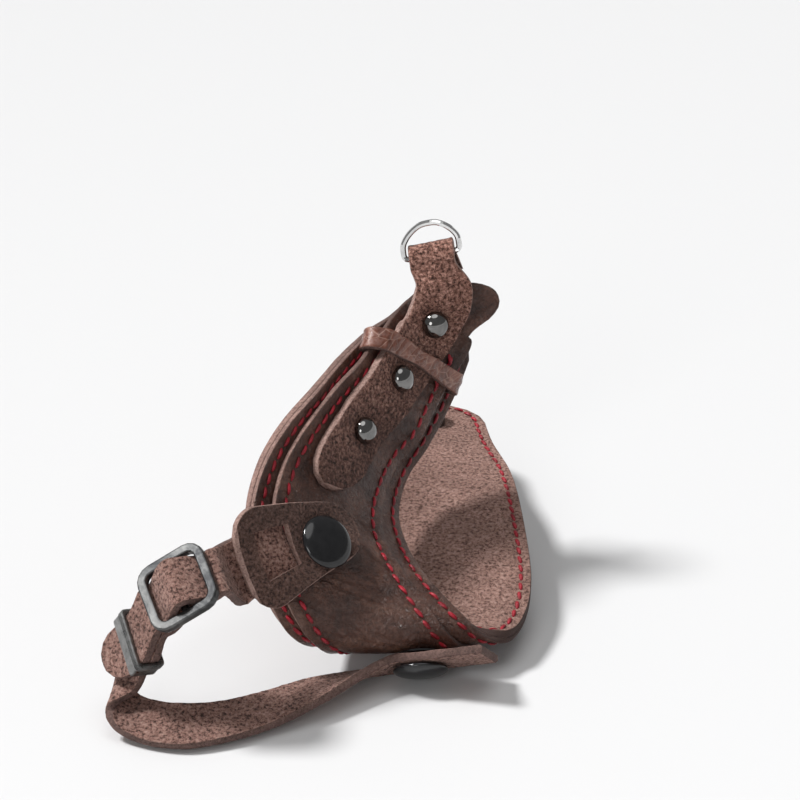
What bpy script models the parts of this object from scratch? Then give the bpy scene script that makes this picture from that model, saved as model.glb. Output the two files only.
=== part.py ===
"""Leather camera wrist strap: a curved hand pad with a connecting strap, a slim
wrist loop with a slide buckle, and a screw for the camera's base.
Lengths are in millimetres here and are turned into metres on the way out."""

import bpy
import bmesh
from math import cos, pi, radians, sin, sqrt
from mathutils import Matrix, Vector

NAME = "camera_wrist_strap"
MM = 0.001
GAP = 0.3

# The layout is measured on the table side of the camera. SEAT is the spot where
# the camera's base rests on the pad, and it becomes the origin of the model.
SEAT = Vector((9.0, 14.0, 16.8))

# Leather thicknesses and the stack on the pad's outer face.
LINER_T = 1.9
OUTER_T = 1.2
OVERLAY_T = 1.5
CONNECT_T = 2.2
SLIM_T = 2.2
WEAVE_SLACK = 0.25
SLIM_W = 12.5
TAB_T = 2.0
KEEPER_T = 1.4
EDGE_ROUND = 0.3

# The hand pad's outer face: its left and right edge at each section, from the
# lug end, over the back of the hand, under at the bottom and back to the base.
PAD_SECTIONS = (
    ((13.0, -3.0, 79.0), (26.0, -2.5, 66.0)),
    ((6.0, -6.0, 73.5), (16.0, -4.5, 60.0)),
    ((1.0, -8.0, 67.2), (18.2, -5.0, 53.1)),
    ((-5.8, -18.0, 65.9), (12.9, -10.0, 40.4)),
    ((-12.6, -30.0, 64.1), (7.6, -17.0, 32.9)),
    ((-19.2, -42.0, 60.9), (2.4, -25.0, 28.2)),
    ((-26.5, -54.0, 57.2), (0.2, -34.0, 25.7)),
    ((-32.0, -63.0, 50.8), (0.1, -41.5, 24.0)),
    ((-34.6, -71.0, 42.6), (1.9, -49.0, 21.9)),
    ((-33.6, -76.0, 33.7), (5.2, -58.2, 20.6)),
    ((-30.8, -80.0, 24.6), (9.8, -66.2, 18.7)),
    ((-26.4, -81.4, 15.9), (14.8, -72.0, 16.1)),
    ((-21.5, -77.5, 10.0), (20.4, -73.2, 10.2)),
    ((-19.3, -69.5, 7.4), (26.2, -69.1, 6.1)),
    ((-18.0, -59.0, 7.4), (30.5, -59.0, 6.0)),
    ((-16.5, -44.0, 9.4), (32.4, -45.0, 8.4)),
    ((-14.5, -22.0, 11.8), (31.2, -22.0, 11.8)),
    ((-11.0, -2.0, 13.4), (29.0, -2.0, 13.4)),
    ((-7.0, 14.0, 13.4), (25.0, 14.0, 13.4)),
    ((-5.0, 26.0, 13.4), (23.0, 26.0, 13.4)),
    ((-4.0, 38.0, 13.4), (22.0, 38.0, 13.4)),
)
PAD_TOP_ROUND = 9.0
PAD_BASE_ROUND = 11.0
PAD_STEPS = 56

# The overlay: distance along the pad, then its left and right edge across it.
OVERLAY_SECTIONS = (
    (-11.5, 0.5, 8.0),
    (-6.0, -3.0, 9.6),
    (0.0, -8.0, 9.8),
    (6.0, -12.5, 8.8),
    (17.0, -16.2, 8.9),
    (26.0, -17.8, 10.8),
    (36.0, -18.6, 13.6),
    (60.0, -19.3, 15.4),
    (85.0, -18.6, 15.0),
    (105.0, -17.0, 14.0),
    (132.0, -17.0, 14.5),
)
OVERLAY_START = -11.5
OVERLAY_END = 130.0
OVERLAY_ROUND = 3.7
OVERLAY_STEPS = 44
TONGUE_LIFT = 2.1
TONGUE_LIFT_FROM = 31.0
TONGUE_LIFT_TO = 44.0

# The connecting strap lies on the overlay and folds over the ring at the lug.
CONNECT_SIDE = ((8.0, -5.4), (16.0, -6.2), (29.0, -7.0), (46.0, -5.4), (65.5, -4.3))
CONNECT_W = 17.4
CONNECT_TOP_W = 11.4
CONNECT_END_S = 65.5
CONNECT_FREE_S = 14.5
CONNECT_STEP = 2.9
CONNECT_STEPS = 62
CONNECT_NECK_W = 14.6
CONNECT_WIDE_S = 36.0
CONNECT_FREE = (
    ((6.5, -15.1, 62.5), (0.70, 0.13, -0.70), 14.8),
    ((9.0, -13.1, 66.8), (0.81, 0.11, -0.57), 14.8),
    ((10.6, -12.6, 71.0), (0.92, 0.08, -0.34), 14.8),
    ((10.8, -12.2, 75.2), (0.99, 0.05, -0.02), 13.8),
)
BACK_PLY = ((2.4, 2.1), (5.2, 1.6))
BACK_LEAN = 0.25
RING_SLACK = 0.15

# The ring at the lug.
RING_BAR = Vector((8.0, -8.0, 81.1))
RING_ALONG = Vector((0.97, 0.0, 0.21)).normalized()
RING_UP = Vector((-0.15, 0.22, 0.96)).normalized()
RING_HALF = 7.0
RING_TALL = 8.2
RING_WIRE = 0.75

# Studs on the connecting strap.
STUD_S = (8.9, 29.2, 46.9)
STUD_D = 6.8
STUD_H = 3.1
POST_D = 3.0
HOLE_EASE = 0.3
DOME_LIP = 0.9

# The leather keeper crosses the pad at a slant.
KEEPER_LEFT = (-17.2, 25.0)
KEEPER_RIGHT = (8.5, 16.2)
KEEPER_W = 5.6

# The snap tab: distance from the snap, then its upper and lower edge.
SNAP1_S = 81.5
SNAP1_A = -7.5
SNAP_CAP_D = 13.2
SNAP_CAP_H = 2.5
SNAP_RING_D = 10.4
SNAP_RING_H = 1.0
SNAP_SEAT_D = 6.4
SNAP_SLACK = 0.2
TAB_ANGLE = radians(23.0)
TAB_SECTIONS = (
    (-11.3, -8.5, 6.3),
    (5.2, -12.7, 6.2),
    (21.7, -16.5, 6.1),
)
TAB_ROUND_SNAP = 7.0
TAB_ROUND_FAR = 6.0
TAB_STEPS = 10
SLOT_MID = (12.3, -4.2)
SLOT_LONG = 9.2
SLOT_TALL = 10.4
SHORT_START = 7.3
SHORT_STEPS = 52

# The lower snap under the pad holds the long strap.
SNAP2_S = 111.0
SNAP2_A = 3.9

# The buckle: centre, the strap's direction through it and the way across.
BUCKLE_AT = Vector((-50.9, -94.0, 35.8))
BUCKLE_ALONG = Vector((-0.85, -0.08, -0.53)).normalized()
BUCKLE_ACROSS = Vector((0.344, -0.841, -0.425)).normalized()
BUCKLE_LONG = 17.8
BUCKLE_RIM = 2.3
BUCKLE_THICK = 2.1
BUCKLE_CORNER = 4.2
BUCKLE_BAR_D = 2.0
BUCKLE_EASE = 0.5

# The metal keeper on the doubled strap.
LOOP_AT = Vector((-63.5, -94.5, 21.2))
LOOP_ALONG = Vector((-0.46, 0.43, -0.77)).normalized()
LOOP_ACROSS = Vector((0.31, -0.74, -0.59)).normalized()
LOOP_LONG = 5.0
LOOP_WALL = 0.8
LOOP_EASE = 0.4
LOOP_HOLD = 3.2

# The long strap from the metal keeper round to the lower snap: its middle, and
# the way to its edge nearest the front.
LONG_POINTS = (
    ((-63.2, -90.6, 11.9), (0.24, -0.84, -0.49)),
    ((-66.3, -92.8, 7.2), (-0.15, -0.98, -0.12)),
    ((-64.2, -95.8, 3.9), (-0.34, -0.93, -0.10)),
    ((-58.4, -99.2, 2.8), (-0.24, -0.94, -0.25)),
    ((-50.3, -101.2, 3.0), (0.00, -0.95, -0.31)),
    ((-40.8, -98.6, 2.6), (0.16, -0.97, -0.18)),
    ((-30.0, -93.4, 2.9), (0.18, -0.98, -0.08)),
    ((-19.8, -87.4, 3.9), (0.16, -0.96, 0.14)),
)
LONG_TAIL = 17.5
LONG_STEPS = 74

# The short strap's free tip past the metal keeper.
TIP_REACH = 10.5
TIP_OUT = 3.0

# The camera screw.
SCREW_BACK = 13.0
SCREW_D = 6.2
SCREW_ABOVE = 4.6
SCREW_HEAD_D = 17.0
SCREW_HEAD_H = 4.6
WASHER_D = 13.0
WASHER_T = 0.8
SLOT_CUT = 1.4
SLOT_DEEP = 3.0
SCREW_HOLE_CUT = 12.0


def clear_scene():
    for obj in list(bpy.data.objects):
        bpy.data.objects.remove(obj, do_unlink=True)


def new_collection(name):
    collection = bpy.data.collections.new(name)
    bpy.context.scene.collection.children.link(collection)
    return collection


def make_material(name, colour, roughness, metallic=0.0):
    material = bpy.data.materials.new(name)
    material.use_nodes = True
    shader = material.node_tree.nodes["Principled BSDF"]
    shader.inputs["Base Color"].default_value = (*colour, 1.0)
    shader.inputs["Roughness"].default_value = roughness
    shader.inputs["Metallic"].default_value = metallic
    return material


def to_model(point):
    return (point - SEAT) * MM


def spline(points, u):
    """A smooth curve through the points, read at u in steps of one point."""
    last = len(points) - 1
    i = min(max(int(u), 0), last - 1)
    f = u - i
    p1 = points[i]
    p2 = points[i + 1]
    p0 = points[i - 1] if i > 0 else p1 * 2 - p2
    p3 = points[i + 2] if i + 2 <= last else p2 * 2 - p1
    return 0.5 * (
        p1 * 2
        + (p2 - p0) * f
        + (p0 * 2 - p1 * 5 + p2 * 4 - p3) * f * f
        + (p1 * 3 - p0 - p2 * 3 + p3) * f * f * f
    )


def knots(rows):
    """Spacing along rows of points, from the distance between their middles."""
    values = [0.0]
    for first, second in zip(rows, rows[1:]):
        values.append(values[-1] + sqrt((second[2] - first[2]).length))
    return values


def row_slope(rows, at, i, column):
    """How fast one column moves at row i, allowing for uneven spacing."""
    last = len(rows) - 1
    if i == 0:
        return (rows[1][column] - rows[0][column]) / (at[1] - at[0])
    if i == last:
        return (rows[last][column] - rows[last - 1][column]) / (at[last] - at[last - 1])
    before = at[i] - at[i - 1]
    after = at[i + 1] - at[i]
    low = (rows[i][column] - rows[i - 1][column]) / before
    high = (rows[i + 1][column] - rows[i][column]) / after
    return (low * after + high * before) / (before + after)


def row_at(rows, at, t):
    """A row of five points across a strap, read at t along its rows."""
    i = 0
    while i < len(rows) - 2 and t > at[i + 1]:
        i += 1
    span = at[i + 1] - at[i]
    f = (t - at[i]) / span
    result = []
    for column in range(5):
        p1 = rows[i][column]
        p2 = rows[i + 1][column]
        m1 = row_slope(rows, at, i, column) * span
        m2 = row_slope(rows, at, i + 1, column) * span
        c2 = (p2 - p1) * 3 - m1 * 2 - m2
        c3 = (p1 - p2) * 2 + m1 + m2
        result.append(p1 + m1 * f + c2 * f * f + c3 * f * f * f)
    return result


def row_of(at, side, half):
    """Five points straight across a strap."""
    way = side.normalized()
    return [at + way * (half * k) for k in ACROSS]


def strap_rows(rows, steps, start_round=0.0, end_round=0.0):
    """Even rows along a strap given by a few rows, with rounded ends if wanted."""
    at = knots(rows)
    fine = 600
    lengths = [0.0]
    before = row_at(rows, at, 0.0)[2]
    for i in range(1, fine + 1):
        here = row_at(rows, at, at[-1] * i / fine)[2]
        lengths.append(lengths[-1] + (here - before).length)
        before = here
    total = lengths[-1]
    table = [(length, at[-1] * i / fine) for i, length in enumerate(lengths)]
    result = []
    for s in end_spaced(0.0, total, steps, start_round, end_round):
        row = row_at(rows, at, linear(table, s, 1))
        share = 1.0
        if start_round > 0.0:
            share = min(share, round_end(s, start_round))
        if end_round > 0.0:
            share = min(share, round_end(total - s, end_round))
        middle = row[2]
        result.append([middle + (point - middle) * share for point in row])
    return result


def ease(value, start, end):
    x = min(max((value - start) / (end - start), 0.0), 1.0)
    return x * x * (3.0 - 2.0 * x)


def linear(table, x, column):
    for first, second in zip(table, table[1:]):
        if x <= second[0] or second is table[-1]:
            f = (x - first[0]) / (second[0] - first[0])
            return first[column] + (second[column] - first[column]) * f
    return table[-1][column]


LEFT = [Vector(section[0]) for section in PAD_SECTIONS]
RIGHT = [Vector(section[1]) for section in PAD_SECTIONS]
TABLE_STEPS = 12
ACROSS = (-1.0, -0.5, 0.0, 0.5, 1.0)


def pad_raw(u, w):
    return spline(LEFT, u).lerp(spline(RIGHT, u), w)


def pad_arc_table():
    """Distance along the pad's middle for each step of u, zero at its upper end."""
    rows = [(0.0, 0.0)]
    before = pad_raw(0.0, 0.5)
    for step in range(1, (len(LEFT) - 1) * TABLE_STEPS + 1):
        u = step / TABLE_STEPS
        here = pad_raw(u, 0.5)
        rows.append((rows[-1][0] + (here - before).length, u))
        before = here
    start = rows[TABLE_STEPS][0]
    return [(s - start, u) for s, u in rows]


ARC = pad_arc_table()
PAD_LENGTH = ARC[-1][0]


def pad_normal(u, w):
    step = 0.02
    along = pad_raw(u + step, w) - pad_raw(u - step, w)
    across = pad_raw(u, w + step) - pad_raw(u, w - step)
    return along.cross(across).normalized()


def pad_point(s, a, h):
    """A point at s along the pad, a across it and h above its outer face."""
    u = linear(ARC, s, 1)
    width = (spline(RIGHT, u) - spline(LEFT, u)).length
    w = 0.5 + a / width
    return pad_raw(u, w) + pad_normal(u, w) * h


def pad_half(s):
    u = linear(ARC, s, 1)
    return (spline(RIGHT, u) - spline(LEFT, u)).length / 2


def pad_frame(s, a, h, turn=0.0):
    """Axes on the pad: x along the pad turned by an angle, z out of its face."""
    at = pad_point(s, a, h)
    out = (pad_point(s, a, h + 1.0) - pad_point(s, a, h)).normalized()
    along = pad_point(s + 0.5, a, h) - pad_point(s - 0.5, a, h)
    along = (along - out * along.dot(out)).normalized()
    along = Matrix.Rotation(turn, 3, out) @ along
    side = out.cross(along)
    frame = Matrix((along, side, out)).transposed().to_4x4()
    frame.translation = to_model(at)
    return frame


def finish(obj, collection, material, smooth_angle=35.0):
    for other in list(obj.users_collection):
        other.objects.unlink(obj)
    collection.objects.link(obj)
    obj.data.materials.clear()
    obj.data.materials.append(material)
    obj.data.shade_smooth()
    obj.data.set_sharp_from_angle(angle=radians(smooth_angle))
    return obj


def grid_object(name, rows, closed=False):
    """An open sheet through rows of points, in the model's metres."""
    mesh = bpy.data.meshes.new(name)
    bm = bmesh.new()
    verts = [[bm.verts.new(to_model(point)) for point in row] for row in rows]
    count = len(verts)
    for i in range(count if closed else count - 1):
        first = verts[i]
        second = verts[(i + 1) % count]
        for j in range(len(first) - 1):
            bm.faces.new((first[j], second[j], second[j + 1], first[j + 1]))
    bm.to_mesh(mesh)
    bm.free()
    return bpy.data.objects.new(name, mesh)


def add_solidify(obj, thickness):
    modifier = obj.modifiers.new("Thickness", "SOLIDIFY")
    modifier.thickness = thickness * MM
    modifier.offset = 0.0
    modifier.use_even_offset = False
    return modifier


def add_bevel(obj, width, segments=1):
    modifier = obj.modifiers.new("Edges", "BEVEL")
    modifier.width = width * MM
    modifier.segments = segments
    modifier.limit_method = "ANGLE"
    modifier.angle_limit = radians(50.0)
    return modifier


def add_cut(obj, cutter):
    modifier = obj.modifiers.new("Cut", "BOOLEAN")
    modifier.operation = "DIFFERENCE"
    modifier.solver = "EXACT"
    modifier.object = cutter
    return modifier


def round_cutter(name, frame, diameter, depth, cutters):
    """A cutting cylinder along the frame's z axis, centred on it."""
    mesh = bpy.data.meshes.new(name)
    bm = bmesh.new()
    bmesh.ops.create_cone(
        bm, cap_ends=True, segments=20,
        radius1=diameter / 2 * MM, radius2=diameter / 2 * MM, depth=depth * MM)
    bm.to_mesh(mesh)
    bm.free()
    obj = bpy.data.objects.new(name, mesh)
    obj.matrix_world = frame
    obj.hide_render = True
    obj.display_type = "WIRE"
    cutters.objects.link(obj)
    return obj


def round_end(distance, radius):
    """Share of the half width left at a distance from a rounded end."""
    if distance >= radius:
        return 1.0
    x = 1.0 - max(distance, 0.0) / radius
    return sqrt(max(1.0 - x * x, 0.012))


def end_spaced(start, end, steps, first_round, last_round):
    """Distances in even steps from start to end, closer near rounded ends."""
    values = []
    low = start + first_round
    high = end - last_round
    near = [1.0 - cos(pi / 2 * i / 4) for i in range(4)]
    if first_round > 0.0:
        values += [start + first_round * share for share in near]
    values += [low + (high - low) * i / steps for i in range(steps + 1)]
    if last_round > 0.0:
        values += [end - last_round * share for share in reversed(near)]
    return values


def pad_layer(name, height, thickness, collection, material):
    rows = []
    for s in end_spaced(0.0, PAD_LENGTH, PAD_STEPS, PAD_TOP_ROUND, PAD_BASE_ROUND):
        share = round_end(s, PAD_TOP_ROUND)
        share = min(share, round_end(PAD_LENGTH - s, PAD_BASE_ROUND))
        half = pad_half(s) * share
        rows.append([pad_point(s, half * k, height) for k in ACROSS])
    obj = grid_object(name, rows)
    add_solidify(obj, thickness)
    add_bevel(obj, EDGE_ROUND)
    return finish(obj, collection, material)


def tongue_lift(s):
    return TONGUE_LIFT * (1.0 - ease(s, TONGUE_LIFT_FROM, TONGUE_LIFT_TO))


def overlay_mid(s):
    return GAP + OVERLAY_T / 2 + tongue_lift(s)


def overlay_top(s):
    return GAP + OVERLAY_T + tongue_lift(s)


def make_overlay(collection, material):
    rows = []
    for s in end_spaced(OVERLAY_START, OVERLAY_END, OVERLAY_STEPS, OVERLAY_ROUND, OVERLAY_ROUND):
        low = linear(OVERLAY_SECTIONS, s, 1)
        high = linear(OVERLAY_SECTIONS, s, 2)
        centre = (low + high) / 2
        half = (high - low) / 2
        cut = OVERLAY_ROUND * (1.0 - round_end(s - OVERLAY_START, OVERLAY_ROUND))
        cut += OVERLAY_ROUND * (1.0 - round_end(OVERLAY_END - s, OVERLAY_ROUND))
        half -= cut
        rows.append([
            pad_point(s, centre + half * k, overlay_mid(s))
            for k in ACROSS])
    obj = grid_object("pad_overlay", rows)
    add_solidify(obj, OVERLAY_T)
    add_bevel(obj, EDGE_ROUND)
    return finish(obj, collection, material)


def connect_h(s):
    return overlay_top(s) + GAP + CONNECT_T / 2


def connect_a(s):
    return linear(CONNECT_SIDE, s, 1)


def pad_row(s, a, half, h):
    """Five points across a strap that lies across the pad's width."""
    return [pad_point(s, a + half * k, h) for k in ACROSS]


def connect_half(s):
    return (CONNECT_NECK_W + (CONNECT_W - CONNECT_NECK_W) * ease(s, 0.0, CONNECT_WIDE_S)) / 2


def ring_back():
    return RING_UP.cross(RING_ALONG).normalized()


def connect_path():
    rows = []
    s = CONNECT_END_S
    while s > CONNECT_FREE_S:
        rows.append(pad_row(s, connect_a(s), connect_half(s), connect_h(s)))
        s -= CONNECT_STEP
    half = CONNECT_TOP_W / 2
    for at, side, wide in CONNECT_FREE:
        rows.append(row_of(Vector(at), Vector(side), wide / 2))
    reach = RING_WIRE + GAP + CONNECT_T / 2 + RING_SLACK
    back = ring_back()
    rows.append(row_of(RING_BAR - back * reach - RING_UP * 2.4, RING_ALONG, half))
    for turn in (0.0, 45.0, 90.0, 135.0, 180.0):
        angle = radians(turn)
        at = RING_BAR - back * (reach * cos(angle)) + RING_UP * (reach * sin(angle))
        rows.append(row_of(at, RING_ALONG, half))
    for down, behind in BACK_PLY:
        at = RING_BAR + back * behind - RING_UP * down + RING_ALONG * (down * BACK_LEAN)
        rows.append(row_of(at, RING_ALONG, half))
    return rows


def make_connect(collection, material):
    rows = strap_rows(connect_path(), CONNECT_STEPS, CONNECT_W / 2)
    obj = grid_object("connecting_strap", rows)
    add_solidify(obj, CONNECT_T)
    add_bevel(obj, EDGE_ROUND)
    return finish(obj, collection, material)


def turned(name, profile, frame, steps, collection, material):
    """A turned piece: a profile of radius and height spun round the frame's z."""
    mesh = bpy.data.meshes.new(name)
    bm = bmesh.new()
    closed = profile[0] == profile[-1]
    spots = profile[:-1] if closed else profile
    verts = [bm.verts.new((r * MM, 0.0, z * MM)) for r, z in spots]
    for first, second in zip(verts, verts[1:]):
        bm.edges.new((first, second))
    if closed:
        bm.edges.new((verts[-1], verts[0]))
    bm.to_mesh(mesh)
    bm.free()
    obj = bpy.data.objects.new(name, mesh)
    modifier = obj.modifiers.new("Turn", "SCREW")
    modifier.axis = "Z"
    modifier.steps = steps
    modifier.render_steps = steps
    modifier.use_merge_vertices = True
    modifier.merge_threshold = 0.00001
    obj.matrix_world = frame
    return finish(obj, collection, material, 40.0)


def dome_profile(radius, height, lip, count=5):
    """A dome's outer side from its crown down to its lip."""
    points = []
    for i in range(count + 1):
        angle = pi / 2 * i / count
        points.append((radius * sin(angle), lip + (height - lip) * cos(angle)))
    return points


def on_strap(rows, near, height):
    """Axes on a strap's outer face at the row nearest to a point."""
    best = min(range(1, len(rows) - 1), key=lambda i: (rows[i][2] - near).length)
    along = (rows[best + 1][2] - rows[best - 1][2]).normalized()
    side = (rows[best][4] - rows[best][0]).normalized()
    out = side.cross(along).normalized()
    return frame_of(rows[best][2] + out * height, along, out.cross(along), out)


def make_studs(collection, material):
    rows = strap_rows(connect_path(), CONNECT_STEPS, CONNECT_W / 2)
    rows = rows[:len(rows) * 3 // 4]
    for index, s in enumerate(STUD_S):
        near = pad_point(s, connect_a(s), connect_h(s))
        frame = on_strap(rows, near, CONNECT_T / 2 + GAP)
        profile = dome_profile(STUD_D / 2, STUD_H, DOME_LIP)
        profile += [
            (STUD_D / 2 - DOME_LIP, 0.0),
            (0.0, 0.0),
        ]
        turned(f"stud_{index + 1}", profile, frame, 20, collection, material)


def tab_xy_to_pad(x, y):
    """Tab outline coordinates to the pad's: x runs away from the snap, y down."""
    a = SNAP1_A - x * cos(TAB_ANGLE) + y * sin(TAB_ANGLE)
    s = SNAP1_S + x * sin(TAB_ANGLE) + y * cos(TAB_ANGLE)
    return s, a


def tab_mid():
    return overlay_top(SNAP1_S) + GAP + SLIM_T + GAP + TAB_T / 2


def tab_row(x):
    """Points down the tab at a distance from the snap, in heights of one."""
    low = linear(TAB_SECTIONS, x, 1)
    high = linear(TAB_SECTIONS, x, 2)
    first = TAB_SECTIONS[0][0]
    last = TAB_SECTIONS[-1][0]
    cut = TAB_ROUND_SNAP * (1.0 - round_end(x - first, TAB_ROUND_SNAP))
    cut += TAB_ROUND_FAR * (1.0 - round_end(last - x, TAB_ROUND_FAR))
    row = []
    for k in ACROSS:
        y = (low + high) / 2 + ((high - low) / 2 - cut) * k
        s, a = tab_xy_to_pad(x, y)
        row.append(pad_point(s, a, tab_mid()))
    return row


def make_tab(collection, cutters, material):
    first = TAB_SECTIONS[0][0]
    last = TAB_SECTIONS[-1][0]
    spots = end_spaced(first, last, TAB_STEPS, TAB_ROUND_SNAP, TAB_ROUND_FAR)
    obj = grid_object("snap_tab", [tab_row(x) for x in spots])
    add_solidify(obj, TAB_T)
    add_bevel(obj, EDGE_ROUND)
    s, a = tab_xy_to_pad(*SLOT_MID)
    frame = pad_frame(s, a, tab_mid(), TAB_ANGLE)
    slot = box_cutter("tab_slot", frame, (SLOT_TALL, SLOT_LONG, TAB_T * 4), cutters)
    add_cut(obj, slot)
    frame = pad_frame(SNAP1_S, SNAP1_A, tab_mid())
    hole = round_cutter("tab_hole", frame, POST_D + 2 * HOLE_EASE, TAB_T * 3, cutters)
    add_cut(obj, hole)
    return finish(obj, collection, material)


def box_cutter(name, frame, size, cutters):
    mesh = bpy.data.meshes.new(name)
    bm = bmesh.new()
    bmesh.ops.create_cube(bm, size=1.0)
    bmesh.ops.scale(bm, vec=Vector(size) * MM, verts=bm.verts)
    bm.to_mesh(mesh)
    bm.free()
    obj = bpy.data.objects.new(name, mesh)
    obj.matrix_world = frame
    obj.hide_render = True
    obj.display_type = "WIRE"
    cutters.objects.link(obj)
    return obj


def short_height():
    return overlay_top(SNAP1_S) + GAP + SLIM_T / 2


def buckle_normal():
    return BUCKLE_ALONG.cross(BUCKLE_ACROSS).normalized()


def loop_inward():
    return LOOP_ACROSS.cross(LOOP_ALONG).normalized()


def buckle_row(x, h):
    at = BUCKLE_AT + BUCKLE_ALONG * x + buckle_normal() * h
    return row_of(at, BUCKLE_ACROSS, SLIM_W / 2)


def loop_row(along, depth):
    at = LOOP_AT + LOOP_ALONG * along + loop_inward() * depth
    return row_of(at, LOOP_ACROSS, SLIM_W / 2)


def short_path():
    rows = []
    for x in (SHORT_START, 10.5, 14.0, 17.5, 21.0, 24.0):
        row = []
        for k in ACROSS:
            s, a = tab_xy_to_pad(x, SLOT_MID[1] + k * SLIM_W / 2)
            row.append(pad_point(s, a, short_height()))
        rows.append(row)
    under = BUCKLE_THICK / 2 + GAP + SLIM_T / 2 + WEAVE_SLACK
    over = BUCKLE_BAR_D / 2 + GAP + SLIM_T / 2 + WEAVE_SLACK
    bar = BUCKLE_LONG / 2 - BUCKLE_RIM / 2
    weave = (
        (-bar - 1.4, -under), (-bar + 1.2, -under), (0.0, over),
        (bar - 1.2, -under), (bar + 1.4, -under),
    )
    for x, h in weave:
        rows.append(buckle_row(x, h))
    depth = LOOP_WALL + GAP + SLIM_T / 2
    for along in (-LOOP_HOLD, 0.0, LOOP_HOLD):
        rows.append(loop_row(along, depth))
    rows.append(loop_row(TIP_REACH * 0.65, depth - TIP_OUT * 0.4))
    rows.append(loop_row(TIP_REACH, depth - TIP_OUT))
    return rows


def make_short_strap(collection, material):
    rows = strap_rows(short_path(), SHORT_STEPS, 0.0, SLIM_W / 2)
    obj = grid_object("wrist_strap_short", rows)
    add_solidify(obj, SLIM_T)
    add_bevel(obj, EDGE_ROUND)
    return finish(obj, collection, material)


def snap2_stack():
    """Heights above the pad's outer face: ring, strap and cap under the pad."""
    ring = overlay_top(SNAP2_S) + GAP
    strap = ring + SNAP_RING_H + GAP + SLIM_T / 2
    cap = strap + SLIM_T / 2 + GAP
    return ring, strap, cap


def long_path():
    rows = []
    bar = BUCKLE_LONG / 2 - BUCKLE_RIM / 2
    low = BUCKLE_BAR_D / 2 + GAP + SLIM_T / 2 + WEAVE_SLACK
    deep = BUCKLE_THICK / 2 + GAP + SLIM_T + GAP + SLIM_T / 2 + 2 * WEAVE_SLACK
    for x, h in ((-1.8, -low), (0.6, -low), (bar - 1.2, -deep), (bar + 1.4, -deep)):
        rows.append(buckle_row(x, h))
    depth = LOOP_WALL + GAP + SLIM_T + GAP + SLIM_T / 2
    for along in (-LOOP_HOLD, 0.0, LOOP_HOLD):
        rows.append(loop_row(along, depth))
    for at, side in LONG_POINTS:
        rows.append(row_of(Vector(at), Vector(side), SLIM_W / 2))
    frame = pad_frame(SNAP2_S, SNAP2_A, snap2_stack()[1])
    centre = frame.translation / MM + SEAT
    front = -frame.col[0].to_3d()
    right = frame.col[1].to_3d()
    for reach in (-5.5, 0.0, 6.0, LONG_TAIL):
        rows.append(row_of(centre + right * reach, front, SLIM_W / 2))
    return rows


def make_long_strap(collection, cutters, material):
    rows = strap_rows(long_path(), LONG_STEPS)
    obj = grid_object("wrist_strap_long", rows)
    add_solidify(obj, SLIM_T)
    add_bevel(obj, EDGE_ROUND)
    frame = pad_frame(SNAP2_S, SNAP2_A, snap2_stack()[1])
    hole = round_cutter("long_hole", frame, POST_D + 2 * HOLE_EASE, SLIM_T * 3, cutters)
    add_cut(obj, hole)
    return finish(obj, collection, material)


def cap_profile(post):
    radius = SNAP_CAP_D / 2
    profile = dome_profile(radius, SNAP_CAP_H, DOME_LIP)
    profile += [
        (radius - 0.3, 0.6),
        (SNAP_SEAT_D / 2, 0.0),
        (POST_D / 2, 0.0),
        (POST_D / 2, -post),
        (0.0, -post),
    ]
    return profile


def ring_profile(height):
    """A snap's ring half: a flat disc with a groove round its side."""
    radius = SNAP_RING_D / 2
    bore = POST_D / 2 + HOLE_EASE
    return [
        (bore, height),
        (radius - 1.6, height),
        (radius - 1.2, height * 0.8),
        (radius, height * 0.7),
        (radius, height * 0.3),
        (SNAP_SEAT_D / 2, 0.0),
        (bore, 0.0),
        (bore, height),
    ]


def make_snaps(collection, cap_material, ring_material):
    h = overlay_top(SNAP1_S) + GAP + SNAP_SLACK
    frame = pad_frame(SNAP1_S, SNAP1_A, h)
    tall = SLIM_T - 2 * SNAP_SLACK
    turned("snap_1_ring", ring_profile(tall), frame, 24, collection, ring_material)
    h = tab_mid() + TAB_T / 2 + GAP + SNAP_SLACK
    post = TAB_T + GAP
    frame = pad_frame(SNAP1_S, SNAP1_A, h)
    turned("snap_1_cap", cap_profile(post), frame, 28, collection, cap_material)
    ring, _, cap = snap2_stack()
    frame = pad_frame(SNAP2_S, SNAP2_A, ring)
    turned("snap_2_ring", ring_profile(SNAP_RING_H), frame, 24, collection, ring_material)
    frame = pad_frame(SNAP2_S, SNAP2_A, cap)
    turned("snap_2_cap", cap_profile(SLIM_T + GAP), frame, 28, collection, cap_material)


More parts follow.
